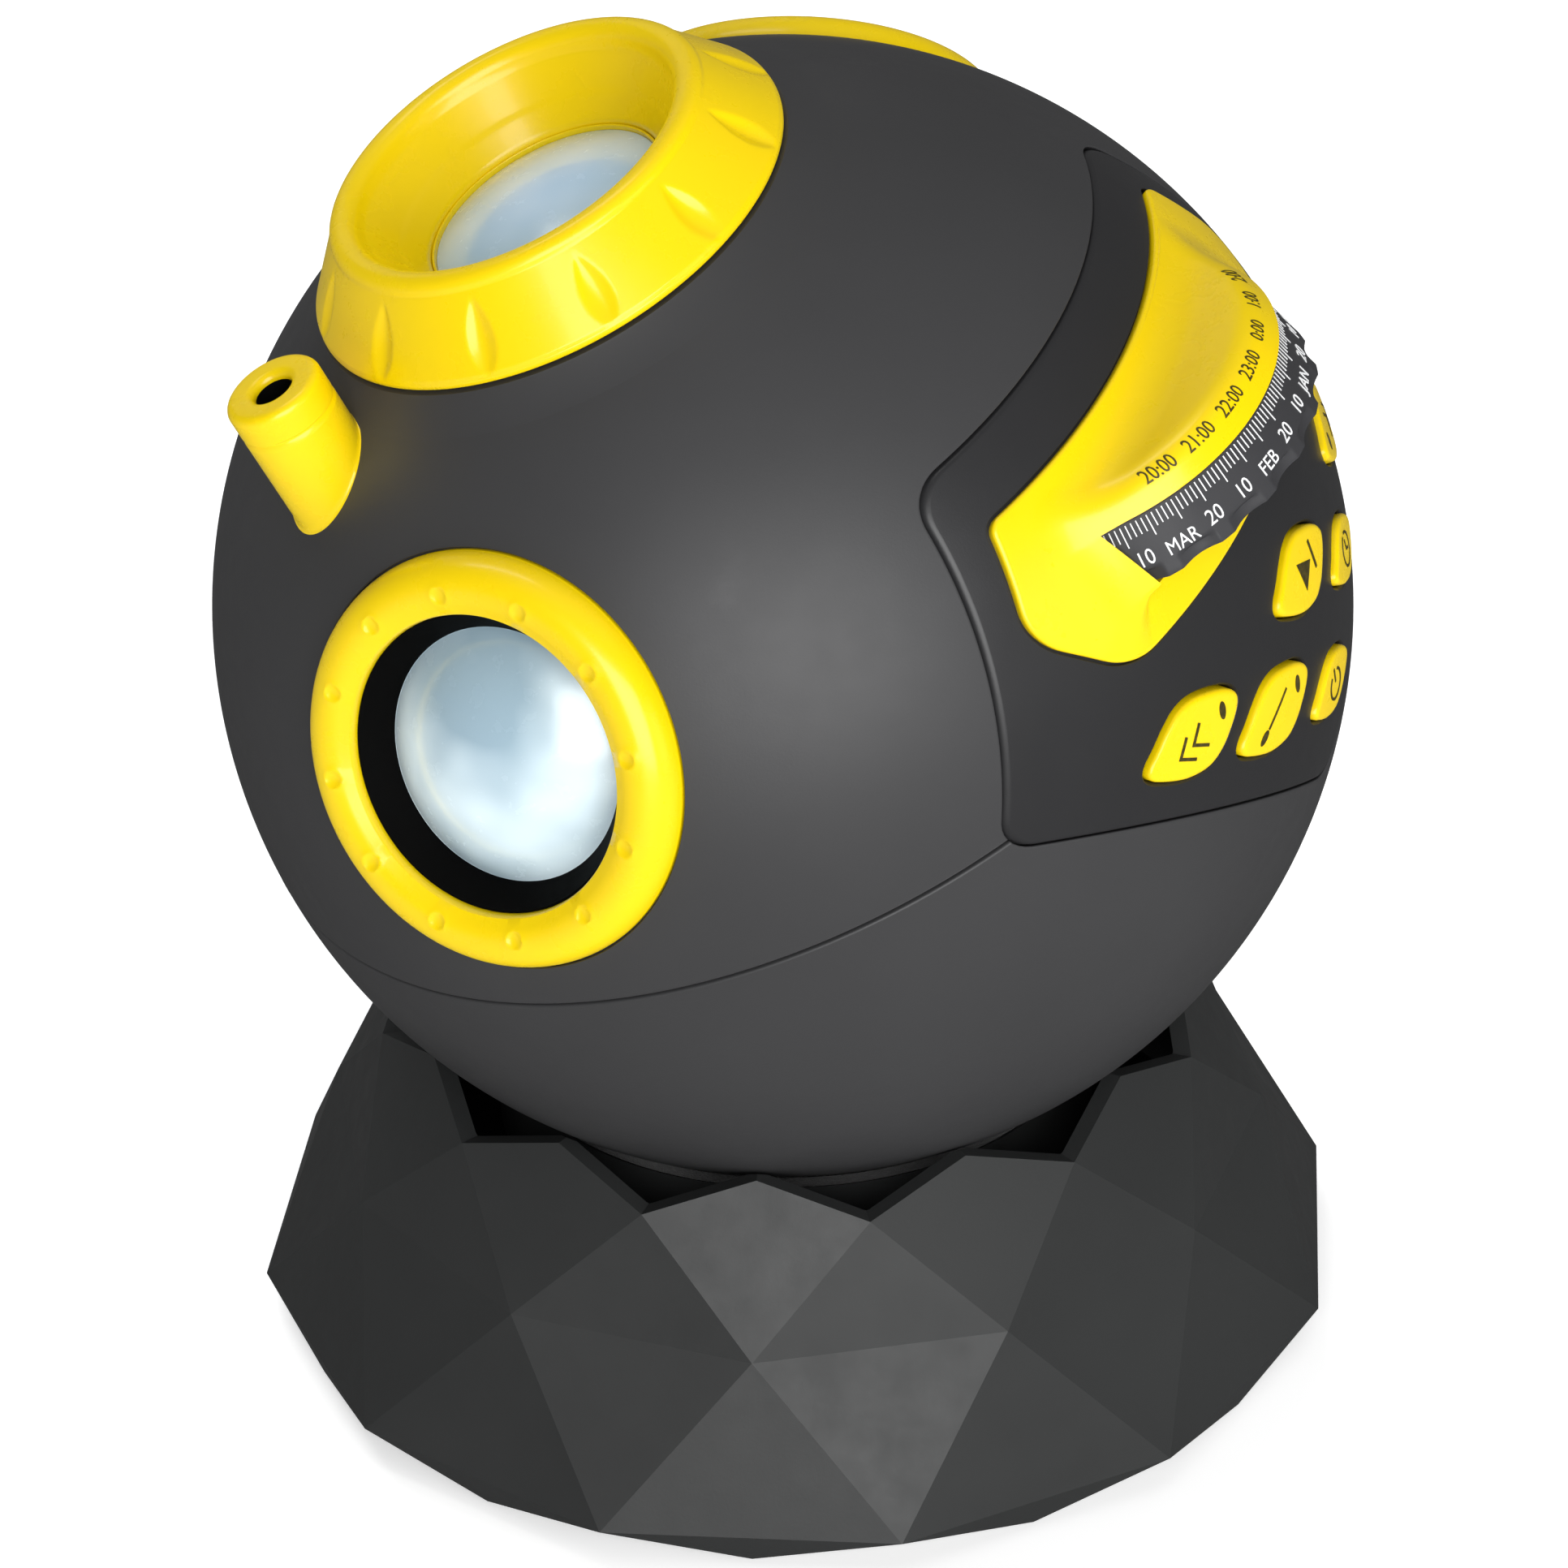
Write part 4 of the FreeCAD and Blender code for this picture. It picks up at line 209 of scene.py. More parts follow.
# A closed smooth curve through the points: Catmull-Rom pieces, each a cubic of its four neighbours.
def softLoop(points, count):
    p = np.array(points, float)
    t = np.linspace(0, 1, 24, endpoint=False)[:, None, None]
    a, b, c, d = np.roll(p, 1, 0), p, np.roll(p, -1, 0), np.roll(p, -2, 0)
    square, cube = 2 * a - 5 * b + 4 * c - d, 3 * b - a - 3 * c + d
    curve = 0.5 * (2 * b + (c - a) * t + square * t ** 2 + cube * t ** 3)
    return evenly(curve.transpose(1, 0, 2).reshape(-1, 2), count)


# Twice the area inside a closed path, positive when it runs anticlockwise.
def turnSense(path):
    return np.sum(path[:, 0] * np.roll(path[:, 1], -1) - np.roll(path[:, 0], -1) * path[:, 1])


def outlineNormals(path):
    along = np.roll(path, -1, 0) - np.roll(path, 1, 0)
    side = np.stack([along[:, 1], -along[:, 0]], 1)
    side /= np.linalg.norm(side, axis=1)[:, None]
    return side if turnSense(path) > 0 else -side


# An outline from corners given on the right, from the top down, with their copies on the left.
def shieldOutline(corners, steps, count):
    left = [(-x, y, r) for x, y, r in reversed(corners) if x]
    return evenly(roundedPath(corners + left, steps), count)


# Corners moved outwards by the ball's gap: sideways off the middle line, up over one height and down
# under another.
def grownCorners(corners, above, below, rounder=0.0):
    gap = ball["gap"]
    return [(x + (gap if x else 0), y + (gap if y > above else -gap if y < below else 0), r + rounder)
            for x, y, r in corners]


# A closed profile (r, z) turned about z: (r cos a, r sin a, z). wobble changes the grid's (r, z) by angle.
def revolve(name, profile, spot, turns, wobble=None):
    angles = np.linspace(0, 2 * math.pi, turns, endpoint=False)
    radius, height = (np.broadcast_to(profile[:, k, None], (len(profile), turns)) for k in (0, 1))
    if wobble:
        radius, height = wobble(radius.copy(), height.copy(), angles[None, :])
    points = np.stack([radius * np.cos(angles), radius * np.sin(angles), height], -1)
    return gridPiece(name, points, spot, ringRows=True)


def rodCutter(radius, bottom, top, spot, turns=128):
    profile = np.array([(0, bottom), (radius, bottom), (radius, top), (0, top)], float)
    return revolve("cutter", profile, spot, turns)


# How far each angle lies from the middle of its own share of the turn, when the turn has so many shares.
def offMiddle(angles, shares):
    period = 2 * math.pi / shares
    return (angles + period / 2) % period - period / 2


# Points of the sphere over (across, up) in the panel's plane, as (x, y, z) with x towards the panel:
# x = root of (radius^2 - across^2 - up^2).
def onBall(across, up, radius=ball["radius"]):
    depth = np.sqrt(np.maximum(radius ** 2 - across ** 2 - up ** 2, 0))
    return np.stack([depth, across, up], -1)


# A closed shell over an outline. Each row is (offset outwards from the outline, sphere radius). The first
# and the last row are filled towards the centre by rings of the same sphere.
def skinPatch(name, outline, rows, spot, centre, rings):
    middle, normals = np.array(centre, float), outlineNormals(outline)
    shares = (np.arange(rings) / rings) ** 0.9

    def ring(offset, radius, share=1.0):
        flat = middle + (outline + normals * offset - middle) * share
        return onBall(flat[:, 0], flat[:, 1], radius)

    grid = [ring(*rows[0], share) for share in shares]
    grid += [ring(*row) for row in rows]
    grid += [ring(*rows[-1], share) for share in shares[::-1]]
    return gridPiece(name, np.array(grid), spot)


# A material whose colour, roughness and bump are to be driven by noise on Object coordinates.
def newFinish(name, colour, roughness, **sockets):
    material = bpy.data.materials.new(name)
    material.use_nodes = True
    tree = material.node_tree
    shader = tree.nodes["Principled BSDF"]
    shader.inputs["Base Color"].default_value = (*colour, 1)
    shader.inputs["Roughness"].default_value = roughness
    for socket, value in sockets.items():
        shader.inputs[socket].default_value = value
    where = tree.nodes.new("ShaderNodeTexCoord").outputs["Object"]
    material.diffuse_color = (*colour, 1)
    return material, tree, shader, where


def noiseNode(tree, where, scale, detail=3.0, rough=0.5):
    noise = tree.nodes.new("ShaderNodeTexNoise")
    noise.inputs["Scale"].default_value = scale
    noise.inputs["Detail"].default_value = detail
    noise.inputs["Roughness"].default_value = rough
    tree.links.new(where, noise.inputs["Vector"])
    return noise.outputs["Fac"]


def ranged(tree, value, low, high, fromLow=0.3, fromHigh=0.7):
    node = tree.nodes.new("ShaderNodeMapRange")
    for socket, number in (("From Min", fromLow), ("From Max", fromHigh), ("To Min", low), ("To Max", high)):
        node.inputs[socket].default_value = number
    tree.links.new(value, node.inputs["Value"])
    return node.outputs["Result"]


def mixedColour(tree, value, first, second):
    mix = tree.nodes.new("ShaderNodeMix")
    mix.data_type = "RGBA"
    tree.links.new(value, mix.inputs["Factor"])
    mix.inputs["A"].default_value = (*first, 1)
    mix.inputs["B"].default_value = (*second, 1)
    return mix.outputs["Result"]


def bumped(tree, shader, height, strength, distance):
    bump = tree.nodes.new("ShaderNodeBump")
    bump.inputs["Strength"].default_value = strength
    bump.inputs["Distance"].default_value = distance
    tree.links.new(height, bump.inputs["Height"])
    tree.links.new(bump.outputs["Normal"], shader.inputs["Normal"])


# Moulded plastic: colour = base * (1 +- shade * slow noise); roughness = base +- spread by a medium noise,
# less a little where sparse rub marks lie; bump = fine grain of the tool + half the slow sink of the wall.
def mouldedPlastic(name, colour, roughness, grain=2600, grainDepth=0.00002, spread=0.06, shade=0.12,
                   rubbed=0.05, **sockets):
    material, tree, shader, where = newFinish(name, colour, roughness, **sockets)
    slow = noiseNode(tree, where, 22, 2)
    medium = noiseNode(tree, where, 160, 4, 0.6)
    fine = noiseNode(tree, where, grain, 2, 0.6)
    dark = tuple(c * (1 - shade) for c in colour)
    light = tuple(min(1, c * (1 + shade)) for c in colour)
    tree.links.new(mixedColour(tree, ranged(tree, slow, 0, 1), dark, light), shader.inputs["Base Color"])
    rub = ranged(tree, noiseNode(tree, where, 55, 6, 0.7), 0, rubbed, 0.6, 0.72)
    even = ranged(tree, medium, roughness - spread, roughness + spread)
    less = tree.nodes.new("ShaderNodeMath")
    less.operation = "SUBTRACT"
    tree.links.new(even, less.inputs[0])
    tree.links.new(rub, less.inputs[1])
    tree.links.new(less.outputs[0], shader.inputs["Roughness"])
    both = tree.nodes.new("ShaderNodeMath")
    both.operation = "MULTIPLY_ADD"
    both.inputs[1].default_value = 0.5
    tree.links.new(slow, both.inputs[0])
    tree.links.new(fine, both.inputs[2])
    bumped(tree, shader, both.outputs[0], 0.5, grainDepth)
    return material


# A pale coated lens: colour = mix of two blues by a slow cloudy noise; a faint polish haze in the
# roughness, 0.6 to 1.6 times the base; a clear coat, where given, for the bright reflections.
def lensGlass(name, colour, cloud, roughness, **sockets):
    material, tree, shader, where = newFinish(name, colour, roughness, **sockets)
    clouds = ranged(tree, noiseNode(tree, where, 46, 2, 0.4), 0, 1, 0.38, 0.62)
    tree.links.new(mixedColour(tree, clouds, colour, cloud), shader.inputs["Base Color"])
    haze = noiseNode(tree, where, 300, 5, 0.6)
    tree.links.new(ranged(tree, haze, roughness * 0.6, roughness * 1.6), shader.inputs["Roughness"])
    bumped(tree, shader, noiseNode(tree, where, 60, 1), 0.08, 0.00005)
    return material


# Machined or plated metal: fine streaks from a noise squeezed along z; roughness rises with the same.
def turnedMetal(name, colour, roughness):
    material, tree, shader, where = newFinish(name, colour, roughness, Metallic=1.0)
    squeeze = tree.nodes.new("ShaderNodeMapping")
    squeeze.inputs["Scale"].default_value = (1, 1, 9)
    tree.links.new(where, squeeze.inputs["Vector"])
    streak = noiseNode(tree, squeeze.outputs["Vector"], 500, 4, 0.6)
    tree.links.new(ranged(tree, streak, roughness - 0.08, roughness + 0.1), shader.inputs["Roughness"])
    dull = tuple(c * 0.8 for c in colour)
    shade = mixedColour(tree, noiseNode(tree, where, 90, 4), dull, colour)
    tree.links.new(shade, shader.inputs["Base Color"])
    bumped(tree, shader, streak, 0.2, 0.00001)
    return material


# Needle felt: colour and bump from one tangled noise; almost fully rough, with a sheen.
def softFibre(name, colour):
    material, tree, shader, where = newFinish(name, colour, 0.95)
    shader.inputs["Sheen Weight"].default_value = 0.4
    tangle = noiseNode(tree, where, 1800, 8, 0.8)
    light = tuple(c * 2.2 for c in colour)
    tree.links.new(mixedColour(tree, tangle, colour, light), shader.inputs["Base Color"])
    bumped(tree, shader, tangle, 0.9, 0.0003)
    return material


# Pad-printed ink: colour mixed towards a worn shade by a fine noise; roughness from a coarser one.
def printedInk(name, colour, worn):
    material, tree, shader, where = newFinish(name, colour, 0.45)
    speck = ranged(tree, noiseNode(tree, where, 1500, 4, 0.7), 0, 1, 0.45, 0.8)
    tree.links.new(mixedColour(tree, speck, colour, worn), shader.inputs["Base Color"])
    tree.links.new(ranged(tree, noiseNode(tree, where, 400, 3), 0.38, 0.55), shader.inputs["Roughness"])
    return material


def glossOf(level, coat=None, coatRough=None):
    sockets = {"Specular IOR Level": level, "Coat Weight": coat, "Coat Roughness": coatRough}
    return {socket: value for socket, value in sockets.items() if value is not None}


finish = {
    "charcoal": mouldedPlastic("charcoalShell", (0.038, 0.038, 0.0395), 0.46, spread=0.02, shade=0.05,
                               **glossOf(0.42)),
    # The panel is the housing's charcoal plastic with its colour painted darker: painted shade for the dark
    # reflection round the buttons. Its lower roughness is its own.
    "panel": mouldedPlastic("panelSatinPaintedShade", (0.020, 0.020, 0.0212), 0.36, spread=0.02, shade=0.05,
                            grain=3200, **glossOf(0.5)),
    "base": mouldedPlastic("baseFacets", (0.024, 0.025, 0.025), 0.46, spread=0.04, shade=0.08,
                           grain=1800, **glossOf(0.4)),
    "yellow": mouldedPlastic("yellowGloss", (0.80, 0.57, 0.0003), 0.28, spread=0.02, shade=0.015,
                             grain=900, grainDepth=0.000006, rubbed=0.03, **glossOf(0.42, 0.15, 0.1)),
    "dial": mouldedPlastic("dialSatin", (0.036, 0.036, 0.039), 0.38, shade=0.08),
    "black": mouldedPlastic("innerBlack", (0.002, 0.002, 0.002), 0.7, **glossOf(0.04)),
    "nylon": mouldedPlastic("gearNylon", (0.72, 0.69, 0.61), 0.42, **{"Subsurface Weight": 0.1}),
    "rubber": mouldedPlastic("blackRubber", (0.02, 0.02, 0.02), 0.75, grain=1200, grainDepth=0.00006),
    "silicone": mouldedPlastic("greySilicone", (0.24, 0.24, 0.24), 0.62, grain=1400),
    "board": mouldedPlastic("boardGreen", (0.012, 0.14, 0.05), 0.35, grain=700),
    "cell": mouldedPlastic("cellSleeve", (0.12, 0.12, 0.14), 0.3),
    "film": mouldedPlastic("discFilm", (0.02, 0.02, 0.06), 0.15, grain=500),
    "led": lensGlass("ledEpoxy", (0.85, 0.85, 0.72), (0.9, 0.88, 0.6), 0.1),
    "lens": lensGlass("frontLens", (0.42, 0.60, 0.78), (0.62, 0.76, 0.88), 0.2,
                      **glossOf(None, 0.6, 0.16)),
    "dome": lensGlass("windowLens", (0.30, 0.42, 0.50), (0.74, 0.88, 0.94), 0.2,
                      **glossOf(None, 0.8, 0.18)),
    "felt": softFibre("needleFelt", (0.012, 0.012, 0.012)),
    "steel": turnedMetal("zincSteel", (0.55, 0.56, 0.57), 0.3),
    "can": turnedMetal("motorCan", (0.48, 0.48, 0.5), 0.36),
    "sink": turnedMetal("sinkAlloy", (0.72, 0.72, 0.74), 0.42),
    "white": printedInk("whitePrint", (0.82, 0.83, 0.84), (0.45, 0.45, 0.46)),
    "ink": printedInk("darkPrint", (0.035, 0.028, 0.006), (0.12, 0.09, 0.01)),
}
print("finishes made:", len(finish))

nodesOfFinish = {
    "base": ("base_shell", "base_plate", "seat_ring"),
    "rubber": ("rubber_feet",),
    "felt": ("seat_felt",),
    "charcoal": ("main_housing", "lower_dome", "battery_door"),
    "panel": ("control_panel",),
    "dial": ("date_dial",),
    "cell": ("batteries",),
    "silicone": ("keypad_mat",),
    "board": ("button_board", "lamp_board"),
    "can": ("drive_motor",),
    "sink": ("heat_sink",),
    "film": ("star_disc",),
    "nylon": ("disc_carrier", "idler_gear", "motor_pinion"),
    "led": ("star_tube_lamp", "port_lamp_left", "port_lamp_right", "lamp_led"),
    "lens": ("star_tube_lens", "condenser_lens", "front_lens", "rear_lens"),
    "dome": ("port_lens_left", "port_lens_right"),
    "steel": ("base_screws", "seam_screws", "battery_contacts", "panel_screws", "dial_axle", "frame_screws",
              "disc_clip"),
    "yellow": ("star_tube", "star_nozzle", "dial_visor", "focus_ring", "port_ring_left", "port_ring_right"),
}
finishOfNode = {nodeName: kind for kind, names in nodesOfFinish.items() for nodeName in names}


# Geometry nodes for the carried-over nodes: merge the loose triangles, and shade smooth all but the edges
# whose angle is past the limit.
def smoothingGroup():
    tree = bpy.data.node_groups.new("smoothByAngle", "GeometryNodeTree")
    tree.interface.new_socket("Geometry", in_out="INPUT", socket_type="NodeSocketGeometry")
    tree.interface.new_socket("Geometry", in_out="OUTPUT", socket_type="NodeSocketGeometry")
    start, end = tree.nodes.new("NodeGroupInput"), tree.nodes.new("NodeGroupOutput")
    merge = tree.nodes.new("GeometryNodeMergeByDistance")
    merge.inputs["Distance"].default_value = 1e-6
    angle = tree.nodes.new("GeometryNodeInputMeshEdgeAngle")
    limit = tree.nodes.new("FunctionNodeCompare")
    limit.operation = "LESS_THAN"
    limit.inputs["B"].default_value = math.radians(28)
    tree.links.new(angle.outputs["Unsigned Angle"], limit.inputs["A"])
    edges, faces = (tree.nodes.new("GeometryNodeSetShadeSmooth") for _ in range(2))
    edges.domain, faces.domain = "EDGE", "FACE"
    faces.inputs["Shade Smooth"].default_value = True
    tree.links.new(start.outputs[0], merge.inputs["Geometry"])
    tree.links.new(merge.outputs[0], faces.inputs["Geometry"])
    tree.links.new(faces.outputs[0], edges.inputs["Geometry"])
    tree.links.new(limit.outputs[0], edges.inputs["Shade Smooth"])
    tree.links.new(edges.outputs[0], end.inputs[0])
    return tree


smoothing = smoothingGroup()
for nodeName, node in frame["nodes"].items():
    kind = finishOfNode.get(nodeName, "yellow" if nodeName.startswith("button_") else "black")
    node.data.materials.clear()
    node.data.materials.append(finish[kind])
    soften = node.modifiers.new("soften", "NODES")
    soften.node_group = smoothing
print("nodes finished")

# The two shells of the ball, and what opens them.
deck = {"rim": 41.5, "plinth": 36.6, "height": 75.9, "under": 73.5, "plinthTop": 78.0, "plinthEdge": 0.35,
        "collar": 31.5, "collarWall": 2.4, "collarTop": 81.8, "throat": 24.25}
tongue = {"outer": 82.1, "inner": 80.2, "drop": 4.0, "blend": 11.0, "top": 12.2}
port = {"azimuth": 91.0, "polar": 60.0, "outer": 29.6, "hole": 24.8, "seat": 78.6, "bedTop": 79.3,
        "flare": 0.4}
tube = {"azimuth": -122.3, "offset": 47.35, "radius": 7.2, "mouth": 86.2, "nozzle": 5.0, "round": 1.3,
        "bore": 4.0, "nozzleBore": 2.9, "lip": 1.2, "relief": 3.8, "neck": 0.3, "spigot": 5.4, "foot": 62.0,
        "fillet": 0.35, "footLift": 0.02}
panel = {"corners": [(38.4, 48.9, 8.0), (60.0, 3.8, 5.0), (0.0, -41.0, 12.0)], "roll": -2.6, "edge": 0.45,
         "centre": (0.0, 6.0)}
dome = {"doorHalf": (25, 28), "doorRound": 6, "doorTop": -40, "screws": (118, 180, 242), "screwReach": 70,
        "screwHole": 3.2, "jack": (149, 108), "jackHole": 4.55}
panelSpot = moved(ballSpot, turn=turnMatrix("X", panel["roll"]))
ballFaces = [(ballSpot["at"], ball["radius"], 1), (ballSpot["at"], ball["inner"], -1)]


# Points (r, z) of the sphere's outline between two heights: r = root of (radius^2 - z^2).
def sphereArc(radius, lowZ, highZ, count, rising=True):
    low, high = math.degrees(math.asin(lowZ / radius)), math.degrees(math.asin(highZ / radius))
    points = arc((0, 0), radius, low, high, count)
    return points if rising else points[::-1]


# The cutter for the panel's opening: the outline grown by the gap, with its edge flared by a quarter round.
def panelOpening():
    outline = shieldOutline(grownCorners(panel["corners"], 10, 0), 14, 360)
    edge, radius, angles = panel["edge"], ball["radius"], np.linspace(0, math.pi / 2, 5)
    flare = [(edge * (1 - math.cos(a)), radius - edge + edge * math.sin(a)) for a in angles]
    rows = [(edge + 1.0, radius + 3.0), (edge + 0.05, radius + 0.2)] + flare[::-1]
    rows += [(0.0, radius - 3.0), (0.0, radius - 15.0)]
    return skinPatch("panelCutter", outline, rows, panelSpot, panel["centre"], 6)


# Profile turned about the optical axis: outer sphere, plinth, collar, deck, throat, inner sphere, and the
# tongue that stands in the lower dome. The panel, the windows and the tube are cut out of it.
def buildMainHousing():
    outer, inner, seam, soft = ball["radius"], ball["inner"], ball["seam"], ball["soft"]
    d, t = deck, tongue
    rimTop, collarInner = math.sqrt(outer ** 2 - d["rim"] ** 2), d["collar"] - d["collarWall"]
    profile = np.concatenate([
        sphereArc(outer, seam + soft, rimTop, 64),
        [(d["plinth"] + d["plinthEdge"], d["plinthTop"] - d["plinthEdge"]), (d["plinth"], d["plinthTop"])],
        [(d["collar"], d["plinthTop"]), (d["collar"], d["collarTop"]), (collarInner, d["collarTop"])],
        [(collarInner, d["height"]), (d["throat"], d["height"]), (d["throat"], d["under"])],
        [(math.sqrt(inner ** 2 - d["under"] ** 2), d["under"])],
        sphereArc(inner, t["top"], d["under"] - 0.5, 40, rising=False),
        sphereArc(t["inner"], seam - t["drop"], t["blend"], 8, rising=False),
        sphereArc(t["outer"], seam - t["drop"], seam - 0.1, 5),
        [(t["outer"], seam)],
        arc((outer - soft - 0.3, seam + soft), soft, -90, -12, 4),
    ])
    piece = revolve("mainHousing", profile, ballSpot, ball["turns"])
    tubeSpot = moved(ballSpot, turnMatrix("Z", tube["azimuth"]) @ (tube["offset"], 0, 0))
    cutters = [panelOpening(), rodCutter(tube["spigot"] + 0.05, tube["foot"], 100, tubeSpot)]
    bed, bedTop = port["outer"] + ball["gap"], port["bedTop"]
    step = np.array([(0, 60), (port["hole"], 60), (port["hole"], port["seat"]), (bed, port["seat"]),
                     (bed, bedTop), (bed + port["flare"], bedTop + 0.6), (bed + 2.7, bedTop + 4.7), (0, 100)])
    for side in (-1, 1):
        spot = outward(ballSpot, side * port["azimuth"], port["polar"])
        cutters.append(revolve("portCutter", step, spot, 160))
    carve(piece, cutters)
    polish(piece, 30, ballFaces)
    finishPiece(piece, finish["charcoal"], "charcoal_shell", "ball", "main_housing")


# Profile turned about the optical axis: outer sphere, soft edge at the seam, and inner sphere. The panel,
# the battery door, the inlet and the screws are cut out of it.
def buildLowerDome():
    outer, inner, top, soft = ball["radius"], ball["inner"], ball["seam"] - ball["seamGap"], ball["soft"]
    profile = np.concatenate([
        sphereArc(outer, -outer, top - soft, 90),
        arc((outer - soft - 0.25, top - soft), soft, 8, 90, 4),
        [(inner, top)],
        sphereArc(inner, -inner, top - 0.2, 60, rising=False),
    ])
    piece = revolve("lowerDome", profile, ballSpot, ball["turns"])
    (x, y), r = dome["doorHalf"], dome["doorRound"]
    door = roundedPath([(x, y, r), (x, -y, r), (-x, -y, r), (-x, y, r)], 8)
    walls = np.stack([np.column_stack([door * share, np.full(len(door), z)])
                      for z, share in ((-100, 0), (-100, 1), (dome["doorTop"], 1), (dome["doorTop"], 0))])
    cutters = [panelOpening(), gridPiece("doorCutter", walls, ballSpot),
               rodCutter(dome["jackHole"], 70, 95, outward(ballSpot, *dome["jack"]))]
    for azimuth in dome["screws"]:
        spot = moved(ballSpot, turnMatrix("Z", azimuth) @ (dome["screwReach"], 0, 0))
        cutters.append(rodCutter(dome["screwHole"], -80, 0, spot, 48))
    carve(piece, cutters)
    polish(piece, 30, ballFaces)
    finishPiece(piece, finish["charcoal"], "charcoal_shell", "ball", "lower_dome")


buildMainHousing()
buildLowerDome()
print("shells built")

# The base: each ring of corners is (radius, height).
base = {"sides": 12, "turn": 9.1, "wall": 3.2, "bowl": 85.5, "edge": 0.35, "foot": (82.0, 0.6),
        "waist": (86.2, 5.5), "middle": (73.7, 30.2), "valley": (64.8, 48.2), "peak": (60.2, 53.2)}


# Rings of twelve corners, every other one turned by half a side, joined by triangles; the rim alternates
# between low valleys and high peaks, and a crown point closes the top.
def facetedCup(name, shrink, drop, lift):
    step, count = 2 * math.pi / base["sides"], base["sides"]

    def ring(level, half, rise=0.0):
        radius, height = base[level]
        angles = math.radians(base["turn"]) + step * (np.arange(count) + (0.5 if half else 0))
        return np.stack([(radius - shrink) * np.cos(angles), (radius - shrink) * np.sin(angles),
                         np.full(count, height + rise)], -1)

    rings = [ring("foot", True, -drop), ring("waist", False), ring("middle", True),
             ring("valley", False, lift), ring("peak", True, lift)]
    points = np.concatenate(rings + [[[0, 0, base["valley"][1] + lift]]])
    foot, waist, middle, valley, peak = (list(range(count * k, count * (k + 1))) for k in range(5))
    crown, faces = 5 * count, []
    for i in range(count):
        j = (i + 1) % count
        faces += [[foot[i], foot[j], waist[j]], [waist[i], foot[i], waist[j]],
                  [waist[i], waist[j], middle[i]], [middle[i], waist[j], middle[j]],
                  [middle[i], middle[j], valley[j]], [valley[i], middle[i], peak[i]],
                  [middle[i], valley[j], peak[i]], [valley[i], peak[i], crown], [peak[i], valley[j], crown]]
    faces.append(foot)
    return tidyMesh(meshObject(name, placed(points, worldSpot), faces))


# The outer cup less the inner one and the ball's bowl, with a narrow round on every facet edge.
def buildBase():
    piece = facetedCup("baseShell", 0.0, 0.0, 0.0)
    sphere = sphereArc(base["bowl"], -base["bowl"], base["bowl"], 140)
    bowl = revolve("bowlCutter", sphere, dict(worldSpot, at=ballSpot["at"]), 240)
    carve(piece, [facetedCup("cupCutter", base["wall"], 1.0, 0.6), bowl])
    rounding = piece.modifiers.new("facetEdges", "BEVEL")
    rounding.width, rounding.segments = base["edge"] * mm, 2
    rounding.limit_method, rounding.angle_limit = "ANGLE", math.radians(4)
    rounding.harden_normals = True
    polish(piece, 4)
    finishPiece(piece, finish["base"], "base_plastic", "base", "base_shell")


buildBase()
print("base built")

focusRing = {"base": 36.3, "baseZ": 78.4, "crest": 28.6, "crestZ": 90.2, "bead": 2.35,
             "beadAt": (26.75, 88.55), "mouth": 24.9, "mouthZ": 88.1, "throat": 18.1, "throatZ": 80.0,
             "lip": 1.0, "step": 0.125, "scoops": 12, "scoopDepth": 1.0, "scoopHalf": 3.9,
             "scoopFrom": 0.10, "scoopSpan": 0.74, "turn": -51.0, "slot": 31.55, "slotInner": 28.8,
             "slotTop": 82.1}


# Profile: base edge, outer cone, a bead for the crest, a funnel with a faint step, the throat and the slot
# underneath. The scoops push the cone in by depth * lobe(angle) * leaf(height), where
# lobe = 1 - (angle / half width)^2 and leaf swells soon above the base and tapers off towards the crest.
def buildFocusRing():
    f = focusRing
    crest = [(f["crest"] + 0.15, f["crestZ"] - 0.9), (f["crest"] - 0.9, f["crestZ"] + 0.8)]
    outside = roundedPath([(f["slot"], f["baseZ"]), (f["base"] - 0.1, f["baseZ"], 0.5),
                           (f["base"], f["baseZ"] + 0.9, 0.6)] + crest, 5, closed=False)[:-2]
    cone = np.linspace((f["base"] - 0.15, f["baseZ"] + 1.5), (f["crest"] + 0.3, f["crestZ"] - 1.1), 40)
    bead = arc(f["beadAt"], f["bead"], 25, 165, 18)
    funnel = np.linspace((f["mouth"] - 0.7, f["mouthZ"]), (f["throat"] + 0.5, f["throatZ"] + 0.5), 24)
    funnel[:, 0] -= np.interp(np.linspace(0, 1, 24), (0.60, 0.66), (0, f["step"]))
    lipZ = f["throatZ"] - f["lip"]
    under = [(f["throat"], f["throatZ"]), (f["throat"], lipZ), (f["slotInner"], lipZ),
             (f["slotInner"], f["slotTop"]), (f["slot"], f["slotTop"])]

    def scooped(radius, height, angles):
        share = np.clip((height - f["baseZ"]) / (f["crestZ"] - f["baseZ"]), 0, 1)
        along = np.clip((share - f["scoopFrom"]) / f["scoopSpan"], 0, 1)
        leaf = (along * (1 - along) ** 1.3 * 4.6).clip(0, 1) ** 0.8
        half = np.radians(f["scoopHalf"]) * leaf + 1e-4
        lobe = np.clip(1 - (offMiddle(angles, f["scoops"]) / half) ** 2, 0, 1) ** 1.2
        onCone = radius > f["crest"] * 0.98
        return radius - f["scoopDepth"] * lobe * leaf * onCone, height

    profile = np.concatenate([outside, cone, bead, funnel, under])
    piece = revolve("focusRing", profile, moved(ballSpot, turn=turnMatrix("Z", f["turn"])), 480, scooped)
    polish(piece, 38)
    finishPiece(piece, finish["yellow"], "yellow_gloss", "focus", "focus_ring")


